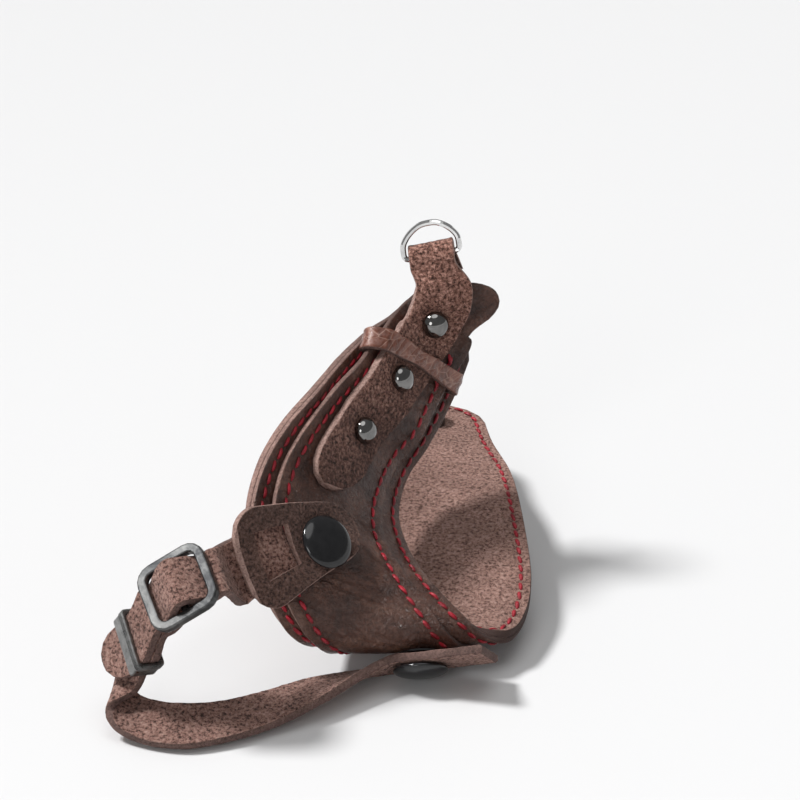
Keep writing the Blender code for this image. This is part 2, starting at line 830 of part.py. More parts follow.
def make_keeper(collection, material):
    """The leather keeper: a closed band round the overlay and the strap on it."""
    left = Vector(KEEPER_LEFT)
    right = Vector(KEEPER_RIGHT)
    way = (right - left).normalized()
    across = Vector((-way.y, way.x))
    over = TONGUE_LIFT + GAP + OVERLAY_T + GAP + CONNECT_T + GAP + KEEPER_T / 2
    under = GAP + KEEPER_T / 2
    mid = (over + under) / 2
    strap_mid = connect_a((left.y + right.y) / 2)
    strap_left = (strap_mid - CONNECT_W / 2 - left.x) / way.x
    strap_right = (strap_mid + CONNECT_W / 2 - left.x) / way.x
    width = (right - left).length
    outline = (
        (strap_left - 1.2, over - 0.1),
        (strap_left + 4.0, over + 0.1),
        ((strap_left + strap_right) / 2, over + 0.15),
        (strap_right - 4.0, over + 0.1),
        (strap_right + 0.8, over - 0.1),
        (width + 0.4, mid + 2.2),
        (width + 2.6, mid - 0.2),
        (width + 1.6, under + 0.3),
        (width - 2.5, under),
        (width * 0.5, under),
        (2.5, under),
        (-1.6, under + 0.3),
        (-2.8, mid - 0.2),
        (-0.9, mid + 2.2),
    )
    count = len(outline)
    flat = [Vector(point) for point in outline]
    rows = []
    steps = 5
    for i in range(count * steps):
        u = i / steps
        k = int(u)
        f = u - k
        p0 = flat[(k - 1) % count]
        p1 = flat[k % count]
        p2 = flat[(k + 1) % count]
        p3 = flat[(k + 2) % count]
        spot = spline([p0, p1, p2, p3], 1.0 + f)
        row = []
        for j in (-1.0, 0.0, 1.0):
            place = left + way * spot.x + across * (KEEPER_W / 2 * j)
            row.append(pad_point(place.y, place.x, spot.y))
        rows.append(row)
    obj = grid_object("strap_keeper", rows, closed=True)
    add_solidify(obj, KEEPER_T)
    add_bevel(obj, EDGE_ROUND)
    return finish(obj, collection, material)


def frame_of(at, x_axis, y_axis, z_axis):
    frame = Matrix((x_axis, y_axis, z_axis)).transposed().to_4x4()
    frame.translation = to_model(at)
    return frame


def make_ring(collection, material):
    """The lug ring: a round wire bent to a rounded triangle, closed."""
    top = RING_TALL
    half = RING_HALF
    flat = (
        (1.6 - half, 0.0), (0.0, 0.0), (half - 1.6, 0.0), (half - 0.2, 0.6),
        (half, 2.0), (half - 0.3, 4.0), (half - 2.0, 6.2),
        (half * 0.35, top - 0.35), (0.0, top), (-half * 0.35, top - 0.35),
        (2.0 - half, 6.2), (0.3 - half, 4.0), (-half, 2.0), (0.2 - half, 0.6),
    )
    points = [RING_BAR + RING_ALONG * x + RING_UP * y for x, y in flat]
    count = len(points)
    curve = bpy.data.curves.new("lug_ring", "CURVE")
    curve.dimensions = "3D"
    curve.bevel_depth = RING_WIRE * MM
    curve.bevel_resolution = 2
    line = curve.splines.new("POLY")
    fine = []
    for i in range(count * 4):
        k = i // 4
        f = (i % 4) / 4.0
        around = [points[(k + j) % count] for j in (-1, 0, 1, 2)]
        fine.append(spline(around, 1.0 + f))
    line.points.add(len(fine) - 1)
    for item, point in zip(line.points, fine):
        item.co = (*to_model(point), 1.0)
    line.use_cyclic_u = True
    source = bpy.data.objects.new("lug_ring_path", curve)
    bpy.context.scene.collection.objects.link(source)
    return as_mesh(source, "lug_ring", collection, material)


def as_mesh(source, name, collection, material):
    """Turn a curve object into a welded mesh object of its own."""
    bpy.context.view_layer.update()
    graph = bpy.context.evaluated_depsgraph_get()
    mesh = bpy.data.meshes.new_from_object(source.evaluated_get(graph))
    bm = bmesh.new()
    bm.from_mesh(mesh)
    bmesh.ops.remove_doubles(bm, verts=bm.verts, dist=0.00001)
    bmesh.ops.recalc_face_normals(bm, faces=bm.faces)
    bm.to_mesh(mesh)
    bm.free()
    obj = bpy.data.objects.new(name, mesh)
    obj.matrix_world = source.matrix_world.copy()
    bpy.data.objects.remove(source, do_unlink=True)
    return finish(obj, collection, material)


def rounded_loop(line, half_x, half_y, radius):
    """Fill a flat spline with a rounded rectangle."""
    points = []
    for corner in range(4):
        sign_x = (1, -1, -1, 1)[corner]
        sign_y = (1, 1, -1, -1)[corner]
        for i in range(5):
            angle = pi / 2 * (corner + i / 4.0)
            x = sign_x * (half_x - radius) + radius * cos(angle)
            y = sign_y * (half_y - radius) + radius * sin(angle)
            points.append((x, y))
    line.points.add(len(points) - 1)
    for item, (x, y) in zip(line.points, points):
        item.co = (x * MM, y * MM, 0.0, 1.0)
    line.use_cyclic_u = True


def rim_mesh(name, frame, half_x, half_y, rim, radius, thick, edge, collection, material):
    """A flat rounded frame with one opening, from a filled outline."""
    curve = bpy.data.curves.new(name, "CURVE")
    curve.dimensions = "2D"
    curve.fill_mode = "BOTH"
    curve.extrude = (thick / 2 - edge) * MM
    curve.bevel_depth = edge * MM
    curve.bevel_resolution = 1
    curve.offset = -edge * MM
    rounded_loop(curve.splines.new("POLY"), half_x, half_y, radius)
    inner = max(radius - rim, 0.8)
    rounded_loop(curve.splines.new("POLY"), half_x - rim, half_y - rim, inner)
    source = bpy.data.objects.new(name + "_outline", curve)
    source.matrix_world = frame
    bpy.context.scene.collection.objects.link(source)
    return as_mesh(source, name, collection, material)


def make_buckle(collection, cutters, material):
    frame = frame_of(BUCKLE_AT, BUCKLE_ALONG, BUCKLE_ACROSS, buckle_normal())
    half_y = SLIM_W / 2 + BUCKLE_EASE + BUCKLE_RIM
    obj = rim_mesh(
        "buckle_frame", frame, BUCKLE_LONG / 2, half_y, BUCKLE_RIM, BUCKLE_CORNER,
        BUCKLE_THICK, 0.4, collection, material)
    mesh = bpy.data.meshes.new("buckle_bar")
    bm = bmesh.new()
    bmesh.ops.create_cone(
        bm, cap_ends=True, segments=14, radius1=BUCKLE_BAR_D / 2 * MM,
        radius2=BUCKLE_BAR_D / 2 * MM, depth=(2 * half_y - BUCKLE_RIM) * MM)
    bm.to_mesh(mesh)
    bm.free()
    bar = bpy.data.objects.new("buckle_bar", mesh)
    bar.matrix_world = frame @ Matrix.Rotation(pi / 2, 4, "X")
    bar.hide_render = True
    bar.display_type = "WIRE"
    cutters.objects.link(bar)
    modifier = obj.modifiers.new("Bar", "BOOLEAN")
    modifier.operation = "UNION"
    modifier.solver = "EXACT"
    modifier.object = bar
    return obj


def make_loop(collection, material):
    """The metal keeper: a band of metal bent square round the doubled strap."""
    depth = 2 * LOOP_WALL + 3 * GAP + 2 * SLIM_T
    centre = LOOP_AT + loop_inward() * (depth / 2)
    frame = frame_of(centre, LOOP_ACROSS, loop_inward(), LOOP_ACROSS.cross(loop_inward()))
    half_x = SLIM_W / 2 + LOOP_EASE + LOOP_WALL
    return rim_mesh(
        "metal_keeper", frame, half_x, depth / 2, LOOP_WALL, 1.0,
        LOOP_LONG, 0.15, collection, material)


def screw_frame(height):
    frame = Matrix.Identity(4)
    frame.translation = to_model(SEAT + Vector((0.0, SCREW_BACK, height)))
    return frame


def cut_screw_hole(obj, cutters):
    frame = screw_frame(-LINER_T)
    name = obj.name + "_screw_hole"
    cutter = round_cutter(name, frame, SCREW_D + 2 * HOLE_EASE, SCREW_HOLE_CUT, cutters)
    add_cut(obj, cutter)


def make_screw(collection, cutters, steel):
    leather = LINER_T + GAP + OUTER_T
    washer_top = -leather - GAP
    frame = screw_frame(0.0)
    bore = SCREW_D / 2 + HOLE_EASE
    washer = [
        (bore, washer_top),
        (WASHER_D / 2, washer_top),
        (WASHER_D / 2, washer_top - WASHER_T),
        (bore, washer_top - WASHER_T),
        (bore, washer_top),
    ]
    turned("screw_washer", washer, frame, 24, collection, steel)
    head_top = washer_top - WASHER_T - GAP
    head_low = head_top - SCREW_HEAD_H
    radius = SCREW_HEAD_D / 2
    profile = [
        (0.0, SCREW_ABOVE),
        (SCREW_D / 2 - 0.6, SCREW_ABOVE),
        (SCREW_D / 2, SCREW_ABOVE - 0.6),
        (SCREW_D / 2, head_top),
        (radius - 0.4, head_top),
        (radius, head_top - 0.4),
        (radius, head_low + 0.8),
        (radius - 0.8, head_low),
        (0.0, head_low),
    ]
    screw = turned("camera_screw", profile, frame, 32, collection, steel)
    slot_frame = screw_frame(head_low)
    slot = box_cutter("coin_slot", slot_frame, (SCREW_HEAD_D + 4.0, SLOT_CUT, SLOT_DEEP), cutters)
    add_cut(screw, slot)


def build():
    clear_scene()
    parts = new_collection(NAME)
    cutters = new_collection("cutters")
    grain = make_material("brown_grain_leather", (0.090, 0.045, 0.035), 0.50)
    suede = make_material("brown_suede", (0.210, 0.115, 0.090), 0.95)
    lining = make_material("pink_brown_suede", (0.300, 0.180, 0.150), 0.95)
    band = make_material("red_brown_leather", (0.180, 0.075, 0.050), 0.45)
    silver = make_material("bright_steel", (0.850, 0.850, 0.840), 0.18, 1.0)
    dark = make_material("dark_chrome", (0.220, 0.215, 0.210), 0.22, 1.0)
    black = make_material("black_enamel", (0.012, 0.012, 0.013), 0.15)
    gunmetal = make_material("worn_gunmetal", (0.200, 0.200, 0.195), 0.38, 1.0)
    nickel = make_material("brushed_nickel", (0.360, 0.360, 0.355), 0.33, 1.0)

    outer = pad_layer("pad_outer", -OUTER_T / 2, OUTER_T, parts, grain)
    inner_mid = -OUTER_T - GAP - LINER_T / 2
    liner = pad_layer("pad_liner", inner_mid, LINER_T, parts, lining)
    for obj in (outer, liner):
        cut_screw_hole(obj, cutters)
    make_overlay(parts, grain)
    make_connect(parts, suede)
    make_studs(parts, dark)
    make_keeper(parts, band)
    make_ring(parts, silver)
    make_tab(parts, cutters, grain)
    make_short_strap(parts, suede)
    make_long_strap(parts, cutters, suede)
    make_snaps(parts, black, gunmetal)
    make_buckle(parts, cutters, gunmetal)
    make_loop(parts, nickel)
    make_screw(parts, cutters, nickel)


build()
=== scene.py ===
"""Looks for the leather camera wrist strap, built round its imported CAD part.
Lengths are in millimetres here and are turned into metres on the way out."""

from math import cos, exp, inf, pi, radians, sin, sqrt

import bmesh
import bpy
from mathutils import Matrix, Vector
from mathutils.noise import noise


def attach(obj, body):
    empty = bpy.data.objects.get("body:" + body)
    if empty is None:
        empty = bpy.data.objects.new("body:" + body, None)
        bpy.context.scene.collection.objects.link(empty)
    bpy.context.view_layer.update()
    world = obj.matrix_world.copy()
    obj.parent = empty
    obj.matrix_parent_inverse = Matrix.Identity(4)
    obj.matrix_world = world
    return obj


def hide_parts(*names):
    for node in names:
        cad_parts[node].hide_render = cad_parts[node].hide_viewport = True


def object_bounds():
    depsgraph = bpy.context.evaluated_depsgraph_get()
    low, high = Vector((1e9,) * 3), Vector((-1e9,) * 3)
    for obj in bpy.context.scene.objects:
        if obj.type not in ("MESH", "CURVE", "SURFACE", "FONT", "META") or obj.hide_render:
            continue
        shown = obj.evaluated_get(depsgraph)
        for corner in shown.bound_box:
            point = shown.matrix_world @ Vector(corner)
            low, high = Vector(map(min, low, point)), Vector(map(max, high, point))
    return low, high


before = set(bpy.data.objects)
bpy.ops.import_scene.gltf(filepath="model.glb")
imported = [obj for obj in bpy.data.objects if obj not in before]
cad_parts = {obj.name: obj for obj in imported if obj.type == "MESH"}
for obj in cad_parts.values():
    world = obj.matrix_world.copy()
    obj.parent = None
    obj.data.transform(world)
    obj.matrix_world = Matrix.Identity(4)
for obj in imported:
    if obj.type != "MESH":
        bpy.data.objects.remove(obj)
CAD_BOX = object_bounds()

MM = 0.001
GAP = 0.3

# The layout is measured on the table side of the camera. SEAT is the spot where
# the camera's base rests on the pad, and it becomes the origin of the model.
SEAT = Vector((9.0, 14.0, 16.8))

# Leather thicknesses and the stack on the pad's outer face.
LINER_T = 1.9
OUTER_T = 1.2
OVERLAY_T = 1.5
CONNECT_T = 2.2
SLIM_T = 2.2
WEAVE_SLACK = 0.25
SLIM_W = 12.5
TAB_T = 2.0
KEEPER_T = 1.4

# The hand pad's outer face: its left and right edge at each section, from the
# lug end, over the back of the hand, under at the bottom and back to the base.
PAD_SECTIONS = (
    ((13.0, -3.0, 79.0), (26.0, -2.5, 66.0)),
    ((6.0, -6.0, 73.5), (16.0, -4.5, 60.0)),
    ((1.0, -8.0, 67.2), (18.2, -5.0, 53.1)),
    ((-5.8, -18.0, 65.9), (12.9, -10.0, 40.4)),
    ((-12.6, -30.0, 64.1), (7.6, -17.0, 32.9)),
    ((-19.2, -42.0, 60.9), (2.4, -25.0, 28.2)),
    ((-26.5, -54.0, 57.2), (0.2, -34.0, 25.7)),
    ((-32.0, -63.0, 50.8), (0.1, -41.5, 24.0)),
    ((-34.6, -71.0, 42.6), (1.9, -49.0, 21.9)),
    ((-33.6, -76.0, 33.7), (5.2, -58.2, 20.6)),
    ((-30.8, -80.0, 24.6), (9.8, -66.2, 18.7)),
    ((-26.4, -81.4, 15.9), (14.8, -72.0, 16.1)),
    ((-21.5, -77.5, 10.0), (20.4, -73.2, 10.2)),
    ((-19.3, -69.5, 7.4), (26.2, -69.1, 6.1)),
    ((-18.0, -59.0, 7.4), (30.5, -59.0, 6.0)),
    ((-16.5, -44.0, 9.4), (32.4, -45.0, 8.4)),
    ((-14.5, -22.0, 11.8), (31.2, -22.0, 11.8)),
    ((-11.0, -2.0, 13.4), (29.0, -2.0, 13.4)),
    ((-7.0, 14.0, 13.4), (25.0, 14.0, 13.4)),
    ((-5.0, 26.0, 13.4), (23.0, 26.0, 13.4)),
    ((-4.0, 38.0, 13.4), (22.0, 38.0, 13.4)),
)
PAD_TOP_ROUND = 9.0
PAD_BASE_ROUND = 11.0

# The overlay: distance along the pad, then its left and right edge across it.
OVERLAY_SECTIONS = (
    (-11.5, 0.5, 8.0),
    (-6.0, -3.0, 9.6),
    (0.0, -8.0, 9.8),
    (6.0, -12.5, 8.8),
    (17.0, -16.2, 8.9),
    (26.0, -17.8, 10.8),
    (36.0, -18.6, 13.6),
    (60.0, -19.3, 15.4),
    (85.0, -18.6, 15.0),
    (105.0, -17.0, 14.0),
    (132.0, -17.0, 14.5),
)
OVERLAY_START = -11.5
OVERLAY_END = 130.0
OVERLAY_ROUND = 3.7
TONGUE_LIFT = 2.1
TONGUE_LIFT_FROM = 31.0
TONGUE_LIFT_TO = 44.0

# The connecting strap lies on the overlay and folds over the ring at the lug.
CONNECT_SIDE = ((8.0, -5.4), (16.0, -6.2), (29.0, -7.0), (46.0, -5.4), (65.5, -4.3))
CONNECT_W = 17.4
CONNECT_TOP_W = 11.4
CONNECT_END_S = 65.5
CONNECT_FREE_S = 14.5
CONNECT_STEP = 2.9
CONNECT_NECK_W = 14.6
CONNECT_WIDE_S = 36.0
CONNECT_FREE = (
    ((6.5, -15.1, 62.5), (0.70, 0.13, -0.70), 14.8),
    ((9.0, -13.1, 66.8), (0.81, 0.11, -0.57), 14.8),
    ((10.6, -12.6, 71.0), (0.92, 0.08, -0.34), 14.8),
    ((10.8, -12.2, 75.2), (0.99, 0.05, -0.02), 13.8),
)
BACK_PLY = ((2.4, 2.1), (5.2, 1.6))
BACK_LEAN = 0.25
RING_SLACK = 0.15

# The ring at the lug.
RING_BAR = Vector((8.0, -8.0, 81.1))
RING_ALONG = Vector((0.97, 0.0, 0.21)).normalized()
RING_UP = Vector((-0.15, 0.22, 0.96)).normalized()
RING_WIRE = 0.75

# Studs on the connecting strap.
STUD_S = (8.9, 29.2, 46.9)
STUD_D = 6.8
STUD_H = 3.1
STUD_LIP = 0.55

# The leather keeper crosses the pad at a slant.
KEEPER_LEFT = (-17.2, 25.0)
KEEPER_RIGHT = (8.5, 16.2)
KEEPER_W = 5.6

# The snap tab: distance from the snap, then its upper and lower edge.
SNAP1_S = 81.5
SNAP1_A = -7.5
SNAP_CAP_D = 13.2
SNAP_CAP_H = 2.5
CAP_LIP = 0.7
SNAP_RING_H = 1.0
SNAP_SEAT_D = 6.4
SNAP_SLACK = 0.2
TAB_ANGLE = radians(23.0)
TAB_SECTIONS = (
    (-11.3, -8.5, 6.3),
    (5.2, -12.7, 6.2),
    (21.7, -16.5, 6.1),
)
TAB_ROUND_SNAP = 7.0
TAB_ROUND_FAR = 6.0
SLOT_MID = (12.3, -4.2)
SLOT_LONG = 9.2
SLOT_TALL = 10.4
SHORT_START = 7.3

# The lower snap under the pad holds the long strap.
SNAP2_S = 111.0
SNAP2_A = 3.9

# The buckle: centre, the strap's direction through it and the way across.
BUCKLE_AT = Vector((-50.9, -94.0, 35.8))
BUCKLE_ALONG = Vector((-0.85, -0.08, -0.53)).normalized()
BUCKLE_ACROSS = Vector((0.344, -0.841, -0.425)).normalized()
BUCKLE_LONG = 17.8
BUCKLE_RIM = 2.3
BUCKLE_THICK = 2.1
BUCKLE_BAR_D = 2.0

# The metal keeper on the doubled strap.
LOOP_AT = Vector((-63.5, -94.5, 21.2))
LOOP_ALONG = Vector((-0.46, 0.43, -0.77)).normalized()
LOOP_ACROSS = Vector((0.31, -0.74, -0.59)).normalized()
LOOP_WALL = 0.8
LOOP_EASE = 0.4
LOOP_HOLD = 3.2

# The long strap from the metal keeper round to the lower snap: its middle, and
# the way to its edge nearest the front.
LONG_POINTS = (
    ((-63.2, -90.6, 11.9), (0.24, -0.84, -0.49)),
    ((-66.3, -92.8, 7.2), (-0.15, -0.98, -0.12)),
    ((-64.2, -95.8, 3.9), (-0.34, -0.93, -0.10)),
    ((-58.4, -99.2, 2.8), (-0.24, -0.94, -0.25)),
    ((-50.3, -101.2, 3.0), (0.00, -0.95, -0.31)),
    ((-40.8, -98.6, 2.6), (0.16, -0.97, -0.18)),
    ((-30.0, -93.4, 2.9), (0.18, -0.98, -0.08)),
    ((-19.8, -87.4, 3.9), (0.16, -0.96, 0.14)),
)
LONG_TAIL = 17.5

# The short strap's free tip past the metal keeper.
TIP_REACH = 10.5
TIP_OUT = 3.0


def to_model(point):
    return (point - SEAT) * MM


def spline(points, u):
    """A smooth curve through the points, read at u in steps of one point."""
    last = len(points) - 1
    i = min(max(int(u), 0), last - 1)
    f = u - i
    p1 = points[i]
    p2 = points[i + 1]
    p0 = points[i - 1] if i > 0 else p1 * 2 - p2
    p3 = points[i + 2] if i + 2 <= last else p2 * 2 - p1
    return 0.5 * (
        p1 * 2
        + (p2 - p0) * f
        + (p0 * 2 - p1 * 5 + p2 * 4 - p3) * f * f
        + (p1 * 3 - p0 - p2 * 3 + p3) * f * f * f
    )


def knots(rows):
    """Spacing along rows of points, from the distance between their middles."""
    values = [0.0]
    for first, second in zip(rows, rows[1:]):
        values.append(values[-1] + sqrt((second[2] - first[2]).length))
    return values


def row_slope(rows, at, i, column):
    """How fast one column moves at row i, allowing for uneven spacing."""
    steps = []
    for j in (i - 1, i):
        if 0 <= j < len(rows) - 1:
            wide = at[j + 1] - at[j]
            steps.append((wide, (rows[j + 1][column] - rows[j][column]) / wide))
    if len(steps) == 1:
        return steps[0][1]
    (before, low), (after, high) = steps
    return (low * after + high * before) / (before + after)


def row_at(rows, at, t):
    """A row of five points across a strap, read at t along its rows."""
    i = 0
    while i < len(rows) - 2 and t > at[i + 1]:
        i += 1
    span = at[i + 1] - at[i]
    f = (t - at[i]) / span
    result = []
    for column in range(5):
        p1 = rows[i][column]
        p2 = rows[i + 1][column]
        m1 = row_slope(rows, at, i, column) * span
        m2 = row_slope(rows, at, i + 1, column) * span
        c2 = (p2 - p1) * 3 - m1 * 2 - m2
        c3 = (p1 - p2) * 2 + m1 + m2
        result.append(p1 + m1 * f + c2 * f * f + c3 * f * f * f)
    return result


def row_of(at, side, half):
    """Five points straight across a strap."""
    way = side.normalized()
    return [at + way * (half * k) for k in ACROSS]


def strap_rows(rows, steps, start_round=0.0, end_round=0.0):
    """Even rows along a strap given by a few rows, with rounded ends if wanted."""
    at = knots(rows)
    fine = 600
    lengths = [0.0]
    before = row_at(rows, at, 0.0)[2]
    for i in range(1, fine + 1):
        here = row_at(rows, at, at[-1] * i / fine)[2]
        lengths.append(lengths[-1] + (here - before).length)
        before = here
    total = lengths[-1]
    table = [(length, at[-1] * i / fine) for i, length in enumerate(lengths)]
    result = []
    for s in end_spaced(0.0, total, steps, start_round, end_round):
        row = row_at(rows, at, linear(table, s, 1))
        share = 1.0
        if start_round > 0.0:
            share = min(share, round_end(s, start_round))
        if end_round > 0.0:
            share = min(share, round_end(total - s, end_round))
        middle = row[2]
        result.append([middle + (point - middle) * share for point in row])
    return result


def ease(value, start, end):
    x = min(max((value - start) / (end - start), 0.0), 1.0)
    return x * x * (3.0 - 2.0 * x)


def linear(table, x, column):
    for first, second in zip(table, table[1:]):
        if x <= second[0] or second is table[-1]:
            f = (x - first[0]) / (second[0] - first[0])
            return first[column] + (second[column] - first[column]) * f
    return table[-1][column]


LEFT = [Vector(section[0]) for section in PAD_SECTIONS]
RIGHT = [Vector(section[1]) for section in PAD_SECTIONS]
TABLE_STEPS = 12
ACROSS = (-1.0, -0.5, 0.0, 0.5, 1.0)


def pad_raw(u, w):
    return spline(LEFT, u).lerp(spline(RIGHT, u), w)


def pad_arc_table():
    """Distance along the pad's middle for each step of u, zero at its upper end."""
    rows = [(0.0, 0.0)]
    before = pad_raw(0.0, 0.5)
    for step in range(1, (len(LEFT) - 1) * TABLE_STEPS + 1):
        u = step / TABLE_STEPS
        here = pad_raw(u, 0.5)
        rows.append((rows[-1][0] + (here - before).length, u))
        before = here
    start = rows[TABLE_STEPS][0]
    return [(s - start, u) for s, u in rows]


ARC = pad_arc_table()
PAD_LENGTH = ARC[-1][0]


def pad_normal(u, w):
    step = 0.02
    along = pad_raw(u + step, w) - pad_raw(u - step, w)
    across = pad_raw(u, w + step) - pad_raw(u, w - step)
    return along.cross(across).normalized()


def pad_point(s, a, h):
    """A point at s along the pad, a across it and h above its outer face."""
    u = linear(ARC, s, 1)
    width = (spline(RIGHT, u) - spline(LEFT, u)).length
    w = 0.5 + a / width
    return pad_raw(u, w) + pad_normal(u, w) * h


def pad_half(s):
    u = linear(ARC, s, 1)
    return (spline(RIGHT, u) - spline(LEFT, u)).length / 2


def frame_of(at, x_axis, y_axis, z_axis):
    axes = Matrix((x_axis, y_axis, z_axis)).transposed().to_4x4()
    axes.translation = to_model(at)
    return axes


def pad_frame(s, a, h):
    """Axes on the pad: x along it, z out of its face."""
    at = pad_point(s, a, h)
    out = (pad_point(s, a, h + 1.0) - at).normalized()
    along = pad_point(s + 0.5, a, h) - pad_point(s - 0.5, a, h)
    along = (along - out * along.dot(out)).normalized()
    return frame_of(at, along, out.cross(along), out)


def even(start, end, steps):
    """Even places from start up to end, which is left out."""
    return [start + (end - start) * i / steps for i in range(steps)]


def round_end(distance, radius):
    """Share of the half width left at a distance from a rounded end."""
    if distance >= radius:
        return 1.0
    x = 1.0 - max(distance, 0.0) / radius
    return sqrt(max(1.0 - x * x, 0.012))


def end_cut(at, first, last, first_round, last_round):
    """How far the sides draw in near the two rounded ends."""
    cut = first_round * (1.0 - round_end(at - first, first_round))
    return cut + last_round * (1.0 - round_end(last - at, last_round))


def end_spaced(start, end, steps, first_round, last_round):
    """Distances in even steps from start to end, closer near rounded ends."""
    values = []
    low = start + first_round
    high = end - last_round
    near = [1.0 - cos(pi / 2 * i / 4) for i in range(4)]
    if first_round > 0.0:
        values += [start + first_round * share for share in near]
    values += [low + (high - low) * i / steps for i in range(steps + 1)]
    if last_round > 0.0:
        values += [end - last_round * share for share in reversed(near)]
    return values


def tongue_lift(s):
    return TONGUE_LIFT * (1.0 - ease(s, TONGUE_LIFT_FROM, TONGUE_LIFT_TO))


def overlay_mid(s):
    return GAP + OVERLAY_T / 2 + tongue_lift(s)


def overlay_top(s):
    return GAP + OVERLAY_T + tongue_lift(s)


def connect_h(s):
    return overlay_top(s) + GAP + CONNECT_T / 2


def connect_a(s):
    return linear(CONNECT_SIDE, s, 1)


def pad_row(s, a, half, h):
    """Five points across a strap that lies across the pad's width."""
    return [pad_point(s, a + half * k, h) for k in ACROSS]


def connect_half(s):
    return (CONNECT_NECK_W + (CONNECT_W - CONNECT_NECK_W) * ease(s, 0.0, CONNECT_WIDE_S)) / 2


def connect_path():
    rows = []
    s = CONNECT_END_S
    while s > CONNECT_FREE_S:
        rows.append(pad_row(s, connect_a(s), connect_half(s), connect_h(s)))
        s -= CONNECT_STEP
    half = CONNECT_TOP_W / 2
    for at, side, wide in CONNECT_FREE:
        rows.append(row_of(Vector(at), Vector(side), wide / 2))
    reach = RING_WIRE + GAP + CONNECT_T / 2 + RING_SLACK
    back = RING_UP.cross(RING_ALONG).normalized()
    rows.append(row_of(RING_BAR - back * reach - RING_UP * 2.4, RING_ALONG, half))
    for turn in (0.0, 45.0, 90.0, 135.0, 180.0):
        angle = radians(turn)
        at = RING_BAR - back * (reach * cos(angle)) + RING_UP * (reach * sin(angle))
        rows.append(row_of(at, RING_ALONG, half))
    for down, behind in BACK_PLY:
        at = RING_BAR + back * behind - RING_UP * down + RING_ALONG * (down * BACK_LEAN)
        rows.append(row_of(at, RING_ALONG, half))
    return rows


def dome_profile(radius, height, lip, count):
    """A dome's outer side from its crown down to its lip."""
    points = []
    for i in range(count + 1):
        angle = pi / 2 * i / count
        points.append((radius * sin(angle), lip + (height - lip) * cos(angle)))
    return points


def on_strap(rows, near, height):
    """Axes on a strap's outer face at the row nearest to a point."""
    best = min(range(1, len(rows) - 1), key=lambda i: (rows[i][2] - near).length)
    along = (rows[best + 1][2] - rows[best - 1][2]).normalized()
    side = (rows[best][4] - rows[best][0]).normalized()
    out = side.cross(along).normalized()
    return frame_of(rows[best][2] + out * height, along, out.cross(along), out)


def tab_xy_to_pad(x, y):
    """Tab outline coordinates to the pad's: x runs away from the snap, y down."""
    a = SNAP1_A - x * cos(TAB_ANGLE) + y * sin(TAB_ANGLE)
    s = SNAP1_S + x * sin(TAB_ANGLE) + y * cos(TAB_ANGLE)
    return s, a


def tab_mid():
    return overlay_top(SNAP1_S) + GAP + SLIM_T + GAP + TAB_T / 2


def buckle_normal():
    return BUCKLE_ALONG.cross(BUCKLE_ACROSS).normalized()


def loop_inward():
    return LOOP_ACROSS.cross(LOOP_ALONG).normalized()


def buckle_row(x, h):
    at = BUCKLE_AT + BUCKLE_ALONG * x + buckle_normal() * h
    return row_of(at, BUCKLE_ACROSS, SLIM_W / 2)


def loop_row(along, depth):
    at = LOOP_AT + LOOP_ALONG * along + loop_inward() * depth
    return row_of(at, LOOP_ACROSS, SLIM_W / 2)


def short_path():
    rows = []
    height = overlay_top(SNAP1_S) + GAP + SLIM_T / 2
    for x in (SHORT_START, 10.5, 14.0, 17.5, 21.0, 24.0):
        row = []
        for k in ACROSS:
            s, a = tab_xy_to_pad(x, SLOT_MID[1] + k * SLIM_W / 2)
            row.append(pad_point(s, a, height))
        rows.append(row)
    under = BUCKLE_THICK / 2 + GAP + SLIM_T / 2 + WEAVE_SLACK
    over = BUCKLE_BAR_D / 2 + GAP + SLIM_T / 2 + WEAVE_SLACK
    bar = BUCKLE_LONG / 2 - BUCKLE_RIM / 2
    weave = (
        (-bar - 1.4, -under), (-bar + 1.2, -under), (0.0, over),
        (bar - 1.2, -under), (bar + 1.4, -under),
    )
    for x, h in weave:
        rows.append(buckle_row(x, h))
    depth = LOOP_WALL + GAP + SLIM_T / 2
    for along in (-LOOP_HOLD, 0.0, LOOP_HOLD):
        rows.append(loop_row(along, depth))
    rows.append(loop_row(TIP_REACH * 0.65, depth - TIP_OUT * 0.4))
    rows.append(loop_row(TIP_REACH, depth - TIP_OUT))
    return rows


def snap2_stack():
    """Heights above the pad's outer face: ring, strap and cap under the pad."""
    ring = overlay_top(SNAP2_S) + GAP
    strap = ring + SNAP_RING_H + GAP + SLIM_T / 2
    cap = strap + SLIM_T / 2 + GAP
    return ring, strap, cap


def long_path():
    rows = []
    bar = BUCKLE_LONG / 2 - BUCKLE_RIM / 2
    low = BUCKLE_BAR_D / 2 + GAP + SLIM_T / 2 + WEAVE_SLACK
    deep = BUCKLE_THICK / 2 + GAP + SLIM_T + GAP + SLIM_T / 2 + 2 * WEAVE_SLACK
    for x, h in ((-1.8, -low), (0.6, -low), (bar - 1.2, -deep), (bar + 1.4, -deep)):
        rows.append(buckle_row(x, h))
    depth = LOOP_WALL + GAP + SLIM_T + GAP + SLIM_T / 2
    for along in (-LOOP_HOLD, 0.0, LOOP_HOLD):
        rows.append(loop_row(along, depth))
    for at, side in LONG_POINTS:
        rows.append(row_of(Vector(at), Vector(side), SLIM_W / 2))
    snap = pad_frame(SNAP2_S, SNAP2_A, snap2_stack()[1])
    centre = snap.translation / MM + SEAT
    front = -snap.col[0].to_3d()
    right = snap.col[1].to_3d()
    for reach in (-5.5, 0.0, 6.0, LONG_TAIL):
        rows.append(row_of(centre + right * reach, front, SLIM_W / 2))
    return rows


